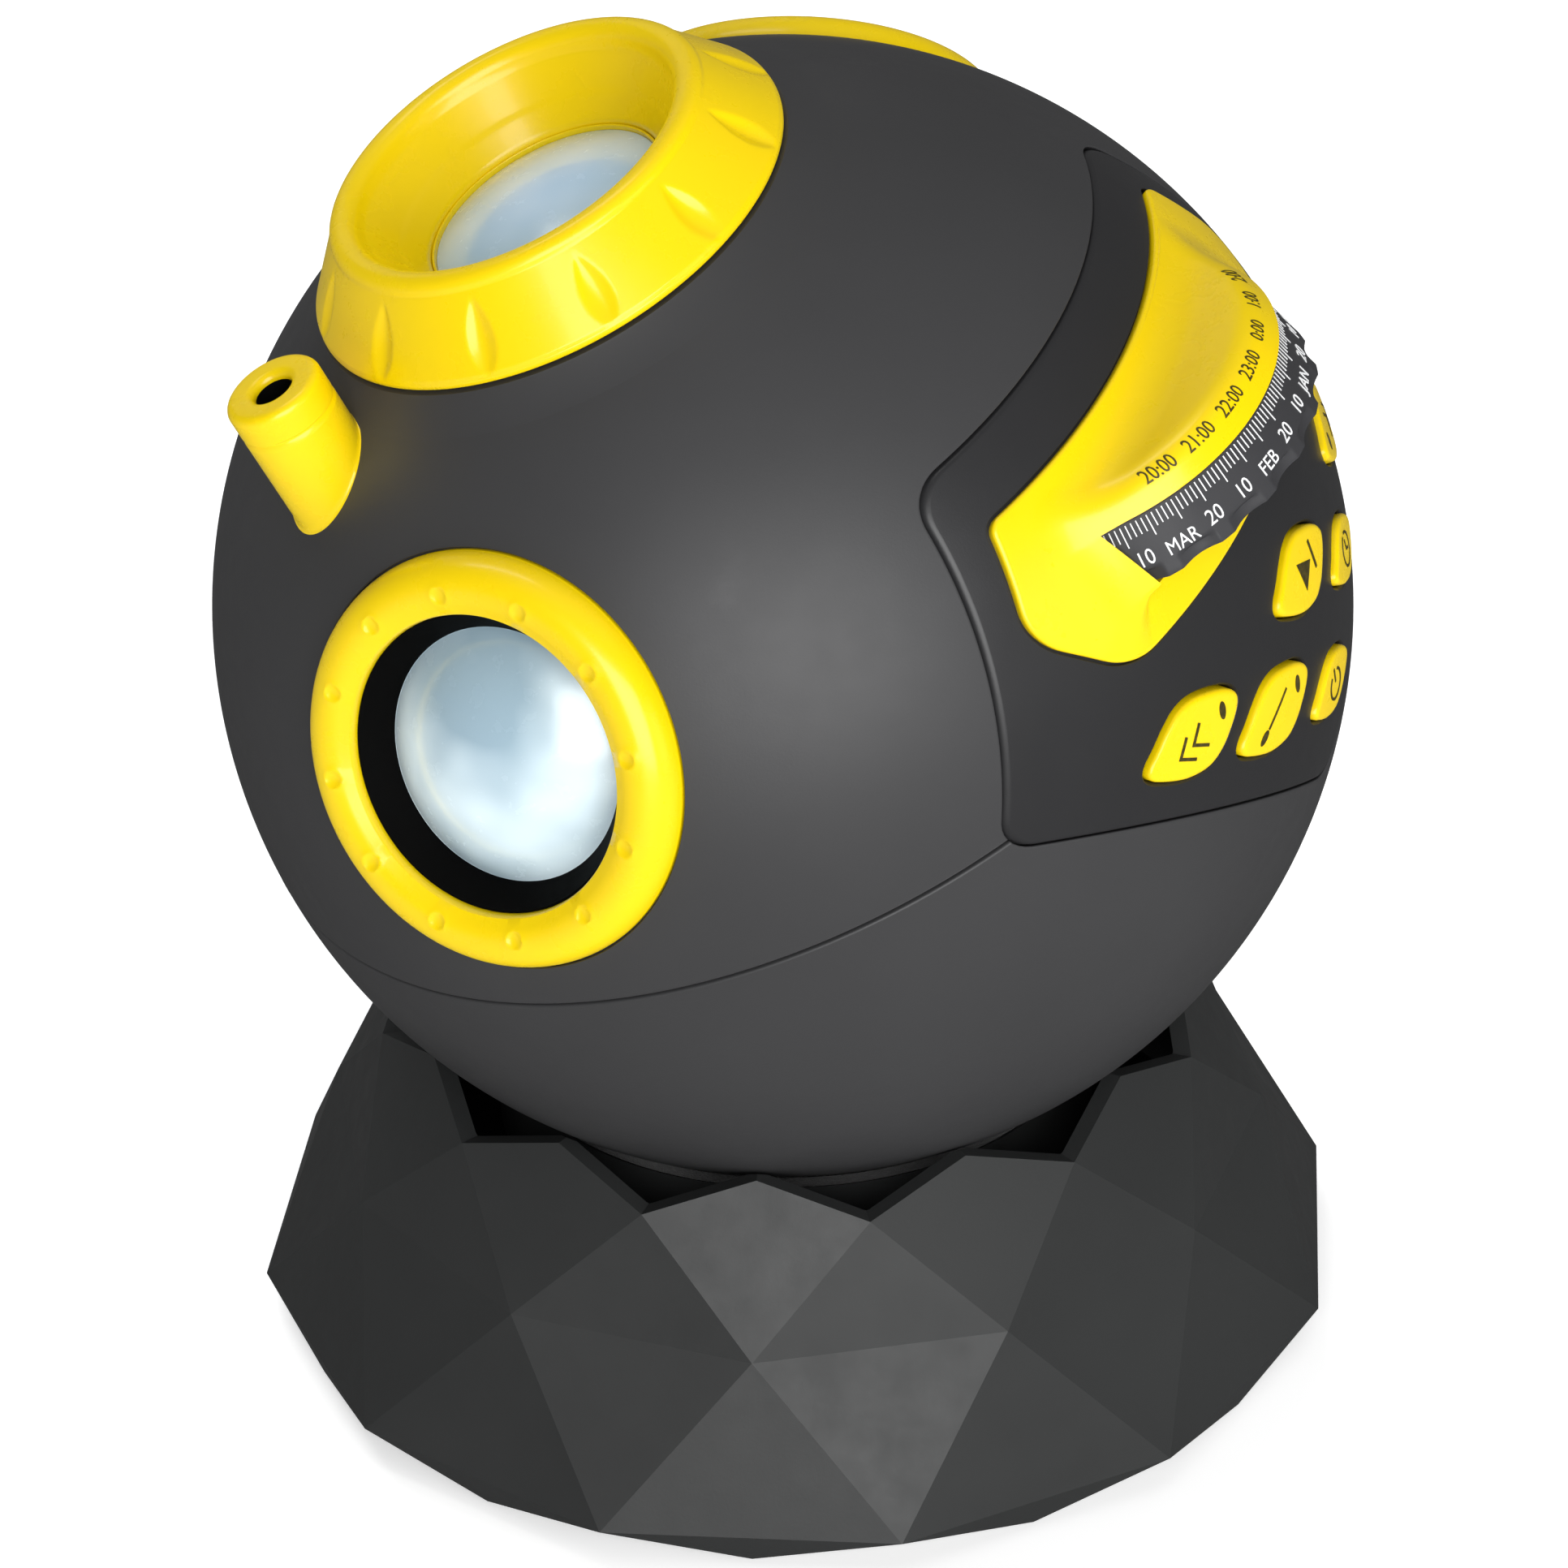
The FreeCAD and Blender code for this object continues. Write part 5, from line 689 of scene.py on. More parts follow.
frontLens = {"edge": 19.95, "seat": 73.8, "flange": 75.8, "face": 17.55, "top": 78.7, "curve": 40.0,
             "ringRise": 1.5, "neckRise": 0.8, "neckWall": 0.4, "clear": 0.05, "lay": 0.1}


# Outline (r, z) of a spherical face that starts at (edge, top) and rises to the axis:
# its circle's centre lies (curve - sag) below that edge, sag = curve - root of (curve^2 - edge^2).
def domeArc(edge, top, curve, count):
    sag, half = curve - math.sqrt(curve ** 2 - edge ** 2), math.degrees(math.asin(edge / curve))
    return arc((0, top + sag - curve), curve, 90 - half, 90, count)


# A thick lens, turned: flat back, short edge and a spherical front. Its ring is a flat band on the flange
# with a thin neck round the lens.
def buildFrontLens():
    f = frontLens
    edge, face, flange = f["edge"], f["face"], f["flange"]
    profile = np.concatenate([[(0, f["seat"]), (edge, f["seat"]), (edge, flange), (face, flange)],
                              domeArc(face, f["top"], f["curve"], 30)])
    piece = revolve("frontLens", profile, ballSpot, 160)
    polish(piece, 35)
    finishPiece(piece, finish["lens"], "lens_clear", "lens", "front_lens")
    inner, outer = face + f["clear"], face + f["clear"] + f["neckWall"]
    bandZ, bandTop, neckTop = flange + f["lay"], flange + f["ringRise"], f["top"] + f["neckRise"]
    corners = [(inner, bandZ), (edge, bandZ), (edge, bandTop, 0.2), (outer, bandTop), (outer, neckTop, 0.15),
               (inner, neckTop, 0.15)]
    ring = revolve("lensRetainer", roundedPath(corners, 4), ballSpot, 160)
    polish(ring, 35)
    finishPiece(ring, finish["yellow"], "black_inner", "lens", "lens_retainer")


buildFocusRing()
buildFrontLens()
print("focus ring and lens built")

window = {"outer": 29.6, "seat": 78.6, "wallTop": 79.6, "crown": 5.05, "crownAt": (24.9, 79.2),
          "squeeze": 0.93, "lip": 1.75, "lipAt": (23.1, 82.2), "lipEnd": 81.5, "inner": 21.3,
          "spigot": 24.5, "spigotWall": 2.0, "spigotEnd": 73.6, "dimples": 12, "dimpleCircle": 24.4,
          "dimpleRadius": 1.3, "dimpleDepth": 0.36, "dimpleFrom": 82.5, "rimSwell": 0.10, "rimWidth": 0.45}
bezel = {"outer": 22.3, "end": 74.4, "wall": (21.25, 20.95), "throat": 18.15, "throatZ": 76.9,
         "flare": (0.25, 0.5)}
windowLens = {"edge": 18.1, "flange": 0.1, "curve": 30.0, "back": 2.4, "edgeBack": 2.0}


# A bulging collar turned from two arcs. A ring of round dimples lowers its crest by
# depth * (1 - (distance / radius)^2), and each dimple's rim swells a little.
def buildPortRing(name, spot):
    w = window
    crown = arc(w["crownAt"], w["crown"], 5, 118, 34)
    crown[:, 0] = w["crownAt"][0] + (crown[:, 0] - w["crownAt"][0]) * w["squeeze"]
    spigotInner = w["spigot"] - w["spigotWall"]
    profile = np.concatenate([
        [(w["spigot"], w["spigotEnd"]), (w["spigot"], w["seat"])],
        [(w["outer"], w["seat"]), (w["outer"], w["wallTop"])],
        crown, arc(w["lipAt"], w["lip"], 150, 180, 6),
        [(w["inner"], w["lipEnd"]), (spigotInner, w["seat"]), (spigotInner, w["spigotEnd"])]])

    def dimpled(radius, height, angles):
        far = np.hypot(offMiddle(angles, w["dimples"]) * w["dimpleCircle"], radius - w["dimpleCircle"])
        press = np.clip(1 - (far / w["dimpleRadius"]) ** 2, 0, 1) ** 0.8
        swell = np.exp(-((far - w["dimpleRadius"]) / w["rimWidth"]) ** 2) * w["rimSwell"]
        return radius, height + (swell - w["dimpleDepth"] * press) * (height > w["dimpleFrom"])

    piece = revolve(f"portRing{name}", profile, spot, 600, dimpled)
    polish(piece, 35)
    finishPiece(piece, finish["yellow"], "yellow_gloss", "ball", f"port_ring_{name.lower()}")


# The dark funnel between the collar and the lens: a turned profile from the collar's lip to the throat.
def buildPortBezel(name, spot):
    b, (wallOut, wallIn), (flareOut, flareUp) = bezel, bezel["wall"], bezel["flare"]
    profile = np.array([(b["throat"], b["end"]), (b["outer"], b["end"]), (b["outer"], window["seat"]),
                        (wallOut, window["lipEnd"]), (wallIn, window["lipEnd"]),
                        (b["throat"] + flareOut, b["throatZ"] + flareUp), (b["throat"], b["throatZ"])])
    piece = revolve(f"portBezel{name}", profile, spot, 200)
    polish(piece, 35)
    finishPiece(piece, finish["black"], "black_inner", "ball")


# A domed window lens, turned: its sphere rises from the bezel's throat, with a flat flange behind it.
def buildPortLens(name, spot):
    w, top = windowLens, bezel["throatZ"]
    rim = w["edge"] + w["flange"]
    profile = np.concatenate([[(0, top - w["back"]), (rim, top - w["edgeBack"]), (rim, top)],
                              domeArc(w["edge"], top, w["curve"], 40)])
    piece = revolve(f"portLens{name}", profile, spot, 200)
    polish(piece, 35)
    finishPiece(piece, finish["dome"], "frosted_lens", "ball", f"port_lens_{name.lower()}")


for windowName, windowSide in (("Left", -1), ("Right", 1)):
    windowSpot = outward(ballSpot, windowSide * port["azimuth"], port["polar"])
    buildPortRing(windowName, windowSpot)
    buildPortBezel(windowName, windowSpot)
    buildPortLens(windowName, windowSpot)
print("side windows built")

starStop = {"hole": 1.0, "inner": 2.75, "outer": 2.88, "sunk": 1.3, "floorDepth": 2.3, "depth": 2.6}


# A round tube of rings (r cos a, r sin a, height) whose foot follows the ball's sphere, with a small fillet
# on the skin; a turned nozzle with a round lip; and a dark cup in the nozzle's bore.
def buildStarTube():
    t, s = tube, starStop
    turn = turnMatrix("Z", t["azimuth"])
    spot = moved(ballSpot, turn @ (t["offset"], 0, 0), turn)
    angles = np.linspace(0, 2 * math.pi, 160, endpoint=False)
    radius, bottom, mouth = t["radius"], t["mouth"] - t["nozzle"], t["mouth"]

    def ringAt(radius, height):
        return np.stack([radius * np.cos(angles), radius * np.sin(angles),
                         np.broadcast_to(height, angles.shape)], -1)

    def footAt(radius, lift):
        x, y = t["offset"] + radius * np.cos(angles), radius * np.sin(angles)
        return ringAt(radius, np.sqrt((ball["radius"] + t["footLift"]) ** 2 - x ** 2 - y ** 2) + lift)

    rows = [footAt(t["spigot"], 0), footAt(radius + t["fillet"], 0.0), footAt(radius + 0.12, 0.15),
            footAt(radius, 0.5)]
    low = rows[-1][:, 2]
    rows += [ringAt(radius, low + (bottom - 0.5 - low) * share) for share in np.linspace(0.05, 1, 24)]
    rows += [ringAt(radius - t["neck"], bottom), ringAt(t["bore"], bottom), ringAt(t["bore"], t["foot"]),
             ringAt(t["spigot"], t["foot"])]
    piece = gridPiece("starTube", np.array(rows), spot, ringRows=True)
    polish(piece, 40)
    finishPiece(piece, finish["yellow"], "yellow_gloss", "ball", "star_tube")

    neck, lip, bore = radius - t["neck"], t["lip"], t["nozzleBore"]
    nozzle = revolve("starNozzle", np.concatenate([
        [(t["relief"], bottom), (neck, bottom), (neck, bottom + 0.25), (radius, bottom + 0.5)],
        arc((radius - t["round"], mouth - t["round"]), t["round"], 0, 90, 9),
        arc((bore + lip, mouth - lip), lip, 90, 180, 8),
        [(bore, bottom + 1.0), (t["relief"], bottom + 0.6)]]), spot, 120)
    polish(nozzle, 35)
    finishPiece(nozzle, finish["yellow"], "yellow_gloss", "ball", "star_nozzle")

    top = mouth - s["sunk"]
    stop = revolve("starStop", np.array([
        (s["inner"], top), (s["outer"], top), (s["outer"], top - s["depth"]), (s["hole"], top - s["depth"]),
        (s["hole"], top - s["floorDepth"]), (s["inner"], top - s["floorDepth"])]), spot, 96)
    polish(stop, 35)
    finishPiece(stop, finish["black"], "black_inner", "ball")


buildStarTube()
print("shooting-star tube built")

# The control panel with its visor, dial and buttons. Rows are (offset outwards, height over the ball) and,
# where they are flat, (offset outwards, height over the ball's centre).
visor = {"corners": [(36.4, 40.7, 3.0), (44.2, 26.0, 8.0), (36.2, 13.4, 8.0)], "proud": 0.7, "inlay": 0.8,
         "centre": (0.0, 26.5), "edge": 0.5, "wall": 1.8, "blend": 5.0, "innerBlend": 0.5,
         "bedRows": [(0.6, 1.0), (0.25, 0.05), (0.08, -0.1), (0.0, -0.3), (0.0, -0.9)]}
dial = {"bottom": 22.9, "top": 32.6, "bottomRadius": 33.0, "topRadius": 30.0, "wall": 2.2, "web": 2.0,
        "hub": 7.0, "hubBottom": 8.0, "hubTop": 30.0, "bore": 2.05, "rimFrom": 29.0, "grips": 24,
        "gripDepth": 0.9, "gripHeight": 2.4, "gripShare": 0.36, "slot": 0.4}
brim = {"low": 33.0, "lowRadius": 30.7, "high": 39.6, "highRadius": 26.8, "slope": 0.59, "square": 0.87,
        "shroudZ": 20.8, "shroudRadius": 34.4, "roofZ": 36.6, "roofX": 77.0, "roofRise": 0.10, "round": 2.6,
        "footZ": 20.7, "footRise": 1.7, "cheekWidth": 6.0, "cheekRise": 9.0, "windowHalf": 28.4,
        "windowSpan": (60, 130)}
buttonPlaces = {
    "back": (-33.3, -2.2, 1.0), "play": (-0.9, -1.6, 1.0), "forward": (33.0, -2.2, 1.0),
    "pointer": (-18.0, -12.2, 1.0), "timer": (15.6, -12.2, 0.82), "power": (-1.2, -22.8, 0.82),
}
leaf = {"points": [(-9.7, 0.7), (-8.7, -1.0), (-4.5, -4.2), (-0.3, -5.75), (2.9, -5.4), (5.8, -4.0),
                   (8.3, -2.3), (9.3, -0.7), (8.5, 1.1), (6.1, 3.1), (2.3, 5.1), (-0.8, 5.5), (-3.8, 4.6),
                   (-6.7, 3.1), (-9.0, 1.9)],
        "crown": 0.8,
        "capRows": [(-0.7, 0.8), (-0.35, 0.72), (-0.1, 0.5), (0.0, 0.15)],
        "capFlats": [(0.0, 81.2), (0.8, 81.2), (0.8, 79.9)],
        "holeRows": [(1.2, 3.0), (0.85, 0.4), (0.7, 0.0), (0.45, -0.25), (0.32, -0.6), (0.3, -1.1)],
        "holeFlats": [(0.3, 76.0)]}


def buttonSpot(across, up):
    forward = math.sqrt(ball["radius"] ** 2 - across ** 2 - up ** 2)
    azimuth = math.degrees(math.atan2(across, forward))
    polar = math.degrees(math.acos(up / ball["radius"]))
    return moved(outward(panelSpot, azimuth, polar), turn=turnMatrix("Z", 90))


# A leaf outline in the button's own plane, grown by each row's offset. A curved row lies on a sphere,
# z = root of (radius^2 - x^2 - y^2), a flat one at its height; both ends are filled towards the middle.
def leafShell(name, share, spot, curved, flats, rings=10):
    outline = softLoop(np.array(leaf["points"]) * share, 160)
    normals = outlineNormals(outline)
    rows = [(offset, ball["radius"] + height, False) for offset, height in curved]
    rows += [(offset, height, True) for offset, height in flats]

    def ring(offset, height, flat, part=1.0):
        x, y = ((outline + normals * offset) * part).T
        z = np.full(len(x), height) if flat else np.sqrt(height ** 2 - x ** 2 - y ** 2)
        return np.stack([x, y, z], -1)

    parts = np.arange(rings) / rings
    grid = [ring(*rows[0], part) for part in parts]
    grid += [ring(*row) for row in rows]
    grid += [ring(*rows[-1], part) for part in parts[::-1]]
    return gridPiece(name, np.array(grid), spot)


# The lesser (sign 1) or greater (sign -1) of two fields, rounded where they meet over the given width.
def smoothBlend(a, b, width, sign):
    share = np.clip(0.5 + 0.5 * sign * (b - a) / width, 0, 1)
    return b + (a - b) * share - sign * width * share * (1 - share)


# Signed room outside the visor's skin, less an inset: the ball's sphere joined with the brim, which is the
# dial's cone held below a sloping roof. The level distance to the cone times square is the one across it.
def visorField(points, inset):
    x, y, z = points[..., 0], points[..., 1], points[..., 2]
    b = brim
    skin = np.linalg.norm(points, axis=-1) - skinRadius(inset)
    far = 20
    heights = [b["shroudZ"] + 0.5, b["low"], b["low"] + 2.5, b["high"] + far]
    radii = [b["shroudRadius"], b["lowRadius"] + 0.05, b["lowRadius"] - 1.5,
             b["highRadius"] - far * b["slope"]]
    cone = (np.hypot(x - dialOffset, y) - (np.interp(z, heights, radii) - inset)) * b["square"]
    roof = z - (b["roofZ"] - inset + (x - b["roofX"]) * b["roofRise"])
    swell = smoothBlend(cone, roof, b["round"], -1)
    return smoothBlend(skin, swell, visor["blend"] if inset == 0 else visor["innerBlend"], 1)


# Radius of the visor's outer skin, or of its inner one where there is an inset.
def skinRadius(inset):
    return ball["radius"] + (visor["proud"] if inset == 0 else -visor["inlay"])


# Points of the ball's frame carried along their rays to the visor's surface, whose distance is found by
# halving the span between inside and outside. The height over the skin then fades in from the brim's foot
# by a smooth step, 3 s^2 - 2 s^3, which starts lower down on the cheeks beside the window.
def ontoVisor(points, inset=0.0, lift=0.0):
    rays = points / np.linalg.norm(points, axis=-1, keepdims=True)
    low, high = np.full(len(rays), 80.0), np.full(len(rays), 112.0)
    for _ in range(34):
        middle = (low + high) / 2
        inside = visorField(rays * middle[:, None], inset) < 0
        low, high = np.where(inside, middle, low), np.where(inside, high, middle)
    skin = skinRadius(inset)
    beside = np.clip((np.abs(rays[:, 1]) * skin - brim["windowHalf"]) / brim["cheekWidth"], 0, 1)
    deeper = brim["cheekRise"] * beside
    foot = np.clip((rays[:, 2] * skin - brim["footZ"] + deeper) / (brim["footRise"] + deeper), 0, 1)
    far = skin + np.maximum(low - skin, 0) * foot ** 2 * (3 - 2 * foot)
    return rays * (far[:, None] + lift)


# Radius of the dial's rim cone at a height.
def dialRadius(height):
    share = (height - dial["bottom"]) / (dial["top"] - dial["bottom"])
    return dial["bottomRadius"] + (dial["topRadius"] - dial["bottomRadius"]) * share


# The box that opens the window in front of the dial.
def windowCutter(bottom, top):
    half = brim["windowHalf"]
    corners = np.array([(x, y, z) for x in brim["windowSpan"]
                        for y, z in ((-half, bottom), (half, bottom), (half, top), (-half, top))], float)
    faces = [[3, 2, 1, 0], [4, 5, 6, 7]] + [[i, (i + 1) % 4, 4 + (i + 1) % 4, 4 + i] for i in range(4)]
    return tidyMesh(meshObject("boxCutter", placed(corners, ballSpot), faces))


# The dial's own outline, grown by its slot, as a cutter.
def dialRoom():
    gap = dial["slot"]
    bottom, low, top = dial["bottom"] - gap, dial["bottomRadius"] + gap, dial["topRadius"] + gap
    profile = np.array([(0, bottom), (low, bottom), (low, dial["bottom"]), (top, dial["top"]),
                        (top, brim["low"]), (0, brim["low"])])
    return revolve("roomCutter", profile, dialSpot, 240)


# Rings of the shield outline shrunk towards its middle: the outer ones are carried onto the visor's field,
# then a quarter round, then the wall, and the inner ones at the inset. Window and dial room are cut out.
def buildVisor():
    outline = shieldOutline(visor["corners"], 12, 480)
    normals, middle = outlineNormals(outline), np.array(visor["centre"])
    roll, edge, top = turnMatrix("X", panel["roll"]), visor["edge"], ball["radius"] + visor["proud"]

    def flatRow(offset, share=1.0):
        flat = middle + (outline + normals * offset - middle) * share
        return onBall(flat[:, 0], flat[:, 1]) @ roll.T

    shares = np.linspace(0, 1, 150, endpoint=False)
    grid = [ontoVisor(flatRow(-edge, share)) for share in shares]
    for angle in np.linspace(0, math.pi / 2, 6):
        radius = top - edge + edge * math.cos(angle)
        grid.append(flatRow(edge * (math.sin(angle) - 1)) * (radius / ball["radius"]))
    grid.append(flatRow(0) * (skinRadius(visor["wall"]) / ball["radius"]))
    grid += [ontoVisor(flatRow(0, share), visor["wall"]) for share in shares[::-2]]
    piece = gridPiece("dialVisor", np.array(grid), ballSpot)
    carve(piece, [windowCutter(brim["shroudZ"], brim["low"]), dialRoom()], solver="EXACT")
    polish(piece, 32, [(ballSpot["at"], top, 1)])
    finishPiece(piece, finish["yellow"], "yellow_gloss", "ball", "dial_visor")


# The shield on the ball's sphere: a quarter round from its face to its wall, and the wall down to the inner
# sphere. The visor's bed, the dial's room, the window and the button holes are cut out of it.
def buildControlPanel():
    edge, radius = panel["edge"], ball["radius"]
    angles = np.linspace(0, math.pi / 2, 5)
    rows = [(edge * (math.sin(a) - 1), radius - edge + edge * math.cos(a)) for a in angles]
    piece = skinPatch("controlPanel", shieldOutline(panel["corners"], 14, 420), rows + [(0, ball["inner"])],
                      panelSpot, panel["centre"], 48)
    bed = shieldOutline(grownCorners(visor["corners"], 30, 20, ball["gap"]), 12, 360)
    bedRows = [(offset, radius + height) for offset, height in visor["bedRows"]]
    cutters = [skinPatch("bedCutter", bed, bedRows, panelSpot, visor["centre"], 24), dialRoom(),
               windowCutter(brim["shroudZ"] - 1.5, brim["high"])]
    for name, (across, up, share) in buttonPlaces.items():
        spot = buttonSpot(across, up)
        cutters.append(leafShell(f"{name}Cutter", share, spot, leaf["holeRows"], leaf["holeFlats"]))
    carve(piece, cutters)
    polish(piece, 30, ballFaces)
    finishPiece(piece, finish["panel"], "charcoal_shell", "ball", "control_panel")


# A leaf-shaped cap with a crowned face, a soft edge, and a flange under the panel's skin.
def buildButton(name, across, up, share):
    piece = leafShell(f"{name}Button", share, buttonSpot(across, up), leaf["capRows"], leaf["capFlats"], 16)
    polish(piece, 40)
    finishPiece(piece, finish["yellow"], "yellow_gloss", f"button_{name}", f"button_{name}")


# Rim, web and hub as one turned profile. Near the lower edge the radius dips by grip depth * round
# lobe(angle), lobe = 1 - (angle / half width)^2, which gives the rim its thumb grips.
def buildDateDial():
    d = dial
    rimHeights = np.linspace(d["bottom"] + 0.5, d["top"] - 0.35, 30)
    profile = np.concatenate([
        [(d["bore"], d["hubBottom"]), (d["hub"], d["hubBottom"]), (d["hub"], d["bottom"])],
        [(d["bottomRadius"] - 0.6, d["bottom"]), (d["bottomRadius"] - 0.1, d["bottom"] + 0.2)],
        np.stack([dialRadius(rimHeights), rimHeights], 1),
        [(d["topRadius"] - 0.3, d["top"]), (d["topRadius"] - d["wall"], d["top"])],
        [(d["bottomRadius"] - d["wall"], d["bottom"] + d["web"]), (d["hub"], d["bottom"] + d["web"])],
        [(d["hub"], d["hubTop"]), (d["bore"], d["hubTop"])]])

    def gripped(radius, height, angles):
        half = 2 * math.pi / d["grips"] * d["gripShare"]
        lobe = np.clip(1 - (offMiddle(angles, d["grips"]) / half) ** 2, 0, 1)
        reach = np.clip((d["bottom"] + d["gripHeight"] - height) / 0.7, 0, 1)
        return radius - d["gripDepth"] * lobe * reach * (radius > d["rimFrom"]), height

    piece = revolve("dateDial", profile, dialSpot, 720, gripped)
    polish(piece, 32)
    finishPiece(piece, finish["dial"], "dial_grey", "dial", "date_dial")


inkLayer = {"front": 0.08, "back": -0.048}


# Closed thin prisms over flat meshes (points, faces): a front and a back at the ink's two heights, and a wall
# along every edge that only one face uses. bend maps (x, y, height) arrays to the surface.
def inkPiece(name, flats, bend, spot):
    points, faces, start = [], [], 0
    for flat, shapes in flats:
        count = len(flat)
        points += [bend(flat[:, 0], flat[:, 1], height) for height in inkLayer.values()]
        faces += [[start + corner for corner in shape] for shape in shapes]
        faces += [[start + count + corner for corner in reversed(shape)] for shape in shapes]
        edges = [(shape[k], shape[(k + 1) % len(shape)]) for shape in shapes for k in range(len(shape))]
        present = set(edges)
        faces += [[start + b, start + a, start + count + a, start + count + b] for a, b in edges
                  if (b, a) not in present]
        start += 2 * count
    piece = tidyMesh(meshObject(name, placed(np.concatenate(points), spot), faces), 1e-7)
    polish(piece, 40)
    return piece


# The flat outline mesh of a word, centred on the origin.
def textFlat(words, size, narrow):
    curve = bpy.data.curves.new("words", "FONT")
    curve.body, curve.size, curve.resolution_u = words, size, 3
    curve.align_x, curve.align_y = "CENTER", "CENTER"
    holder = bpy.data.objects.new("words", curve)
    bpy.context.scene.collection.objects.link(holder)
    mesh = bpy.data.meshes.new_from_object(holder.evaluated_get(bpy.context.evaluated_depsgraph_get()))
    flat = np.empty(len(mesh.vertices) * 3)
    mesh.vertices.foreach_get("co", flat)
    faces = [list(polygon.vertices) for polygon in mesh.polygons]
    bpy.data.objects.remove(holder)
    bpy.data.meshes.remove(mesh)
    return flat.reshape(-1, 3)[:, :2] * (narrow, 1.0), faces


# The flat mesh with its long edges split, in up to six rounds, so that it can follow a curve.
def refined(flat, faces, limit):
    work = bmesh.new()
    corners = [work.verts.new((x, y, 0)) for x, y in flat]
    for face in faces:
        work.faces.new([corners[k] for k in face])
    for _ in range(6):
        bmesh.ops.triangulate(work, faces=work.faces)
        long = [edge for edge in work.edges if edge.calc_length() > limit]
        if not long:
            break
        bmesh.ops.subdivide_edges(work, edges=long, cuts=1)
    bmesh.ops.triangulate(work, faces=work.faces)
    work.verts.index_update()
    result = np.array([vertex.co[:2] for vertex in work.verts])
    shapes = [[vertex.index for vertex in face.verts] for face in work.faces]
    work.free()
    return result, shapes


def polygonFlat(points, limit=None):
    points = np.array(points, float)
    flat, faces = (points if turnSense(points) > 0 else points[::-1]), [list(range(len(points)))]
    return refined(flat, faces, limit) if limit else (flat, faces)


# A band of even width along an open line in steps of about 0.8, mitred at its corners.
def strokeFlat(points, width):
    line = np.array(points, float)
    parts = [np.linspace(a, b, max(2, int(np.linalg.norm(b - a) / 0.8) + 1), endpoint=False)
             for a, b in zip(line, line[1:])]
    line = np.vstack(parts + [line[-1:]])
    steps = np.diff(line, axis=0)
    steps /= np.linalg.norm(steps, axis=1)[:, None]
    side = np.stack([-steps[:, 1], steps[:, 0]], 1)
    joint = np.vstack([side[:1], side[:-1] + side[1:], side[-1:]])
    joint *= (1 / np.maximum(np.sum(joint * np.vstack([side[:1], side]), axis=1), 0.3))[:, None]
    left, right = line + joint * width / 2, line - joint * width / 2
    count = len(line)
    return np.vstack([left, right]), [[i, count + i, count + i + 1, i + 1] for i in range(count - 1)]


def ovalFlat(x, y, wide, high, tilt):
    angles = np.linspace(0, 2 * math.pi, 24, endpoint=False)
    across, up = wide / 2 * np.cos(angles), high / 2 * np.sin(angles)
    c, s = math.cos(math.radians(tilt)), math.sin(math.radians(tilt))
    return polygonFlat(np.stack([x + c * across - s * up, y + s * across + c * up], 1))


dates = {"months": ("MAR", "FEB", "JAN", "DEC", "NOV", "OCT", "SEP", "AUG", "JUL", "JUN", "MAY", "APR"),
         "first": -57.5, "step": 10.0, "size": 3.1, "monthSize": 0.92, "narrow": 0.86, "height": 26.7,
         "monthDrop": 0.35, "radius": 31.8, "ticks": 240, "tickTop": 32.0, "tickLength": 2.0, "longTick": 3.0,
         "tickWidth": 0.17}
hours = {"words": ("20:00", "21:00", "22:00", "23:00", "0:00", "1:00", "2:00"), "first": -45.5, "step": 15.0,
         "radius": 27.7, "axis": 64.7, "height": 36.2, "size": 2.9, "narrow": 0.82, "lean": 30.0,
         "edge": 0.45}


# Dates and ticks bent round the dial's cone: x runs round it, angle = x / radius, and y is the height, at
# which the cone gives the distance from the axis.
def buildDialPrint():
    slope = math.atan2(dial["bottomRadius"] - dial["topRadius"], dial["top"] - dial["bottom"])
    around, flats = dates["radius"], []
    for index in range(3 * len(dates["months"])):
        isMonth = index % 3 == 1
        words = ("10", dates["months"][index // 3], "20")[index % 3]
        share, drop = (dates["monthSize"], dates["monthDrop"]) if isMonth else (1.0, 0.0)
        flat, faces = textFlat(words, dates["size"] * share, dates["narrow"])
        middle = math.radians(dates["first"] + dates["step"] * index) * around
        flats.append((flat + (middle, dates["height"] - drop), faces))
    half, top = dates["tickWidth"] / 2, dates["tickTop"]
    for index in range(dates["ticks"]):
        middle = 2 * math.pi * index / dates["ticks"] * around
        bottom = top - (dates["longTick"] if index % 5 == 0 else dates["tickLength"])
        flats.append(polygonFlat([(middle - half, bottom), (middle + half, bottom), (middle + half, top),
                                  (middle - half, top)]))

    def bend(x, y, height):
        radius = dialRadius(y) + height * math.cos(slope)
        return np.stack([radius * np.cos(x / around), radius * np.sin(x / around),
                         y + height * math.sin(slope)], -1)

    piece = inkPiece("dialPrint", flats, bend, dialSpot)
    finishPiece(piece, finish["white"], "dial_grey", "dial")


# Hours round the brim: x runs round the brim's circle, y climbs its slope, and each point is then carried
# to the visor's surface.
def buildHourPrint():
    h, flats = hours, []
    for index, words in enumerate(h["words"]):
        flat, faces = refined(*textFlat(words, h["size"], h["narrow"]), h["edge"])
        flats.append((flat + (math.radians(h["first"] + h["step"] * index) * h["radius"], 0), faces))
    lean = math.radians(h["lean"])

    def bend(x, y, height):
        angle, radius = x / h["radius"], h["radius"] - y * math.sin(lean)
        points = np.stack([h["axis"] + radius * np.cos(angle), radius * np.sin(angle),
                           h["height"] + y * math.cos(lean)], -1)
        return ontoVisor(points, lift=height)

    piece = inkPiece("hourPrint", flats, bend, ballSpot)
    finishPiece(piece, finish["ink"], "yellow_gloss", "ball")


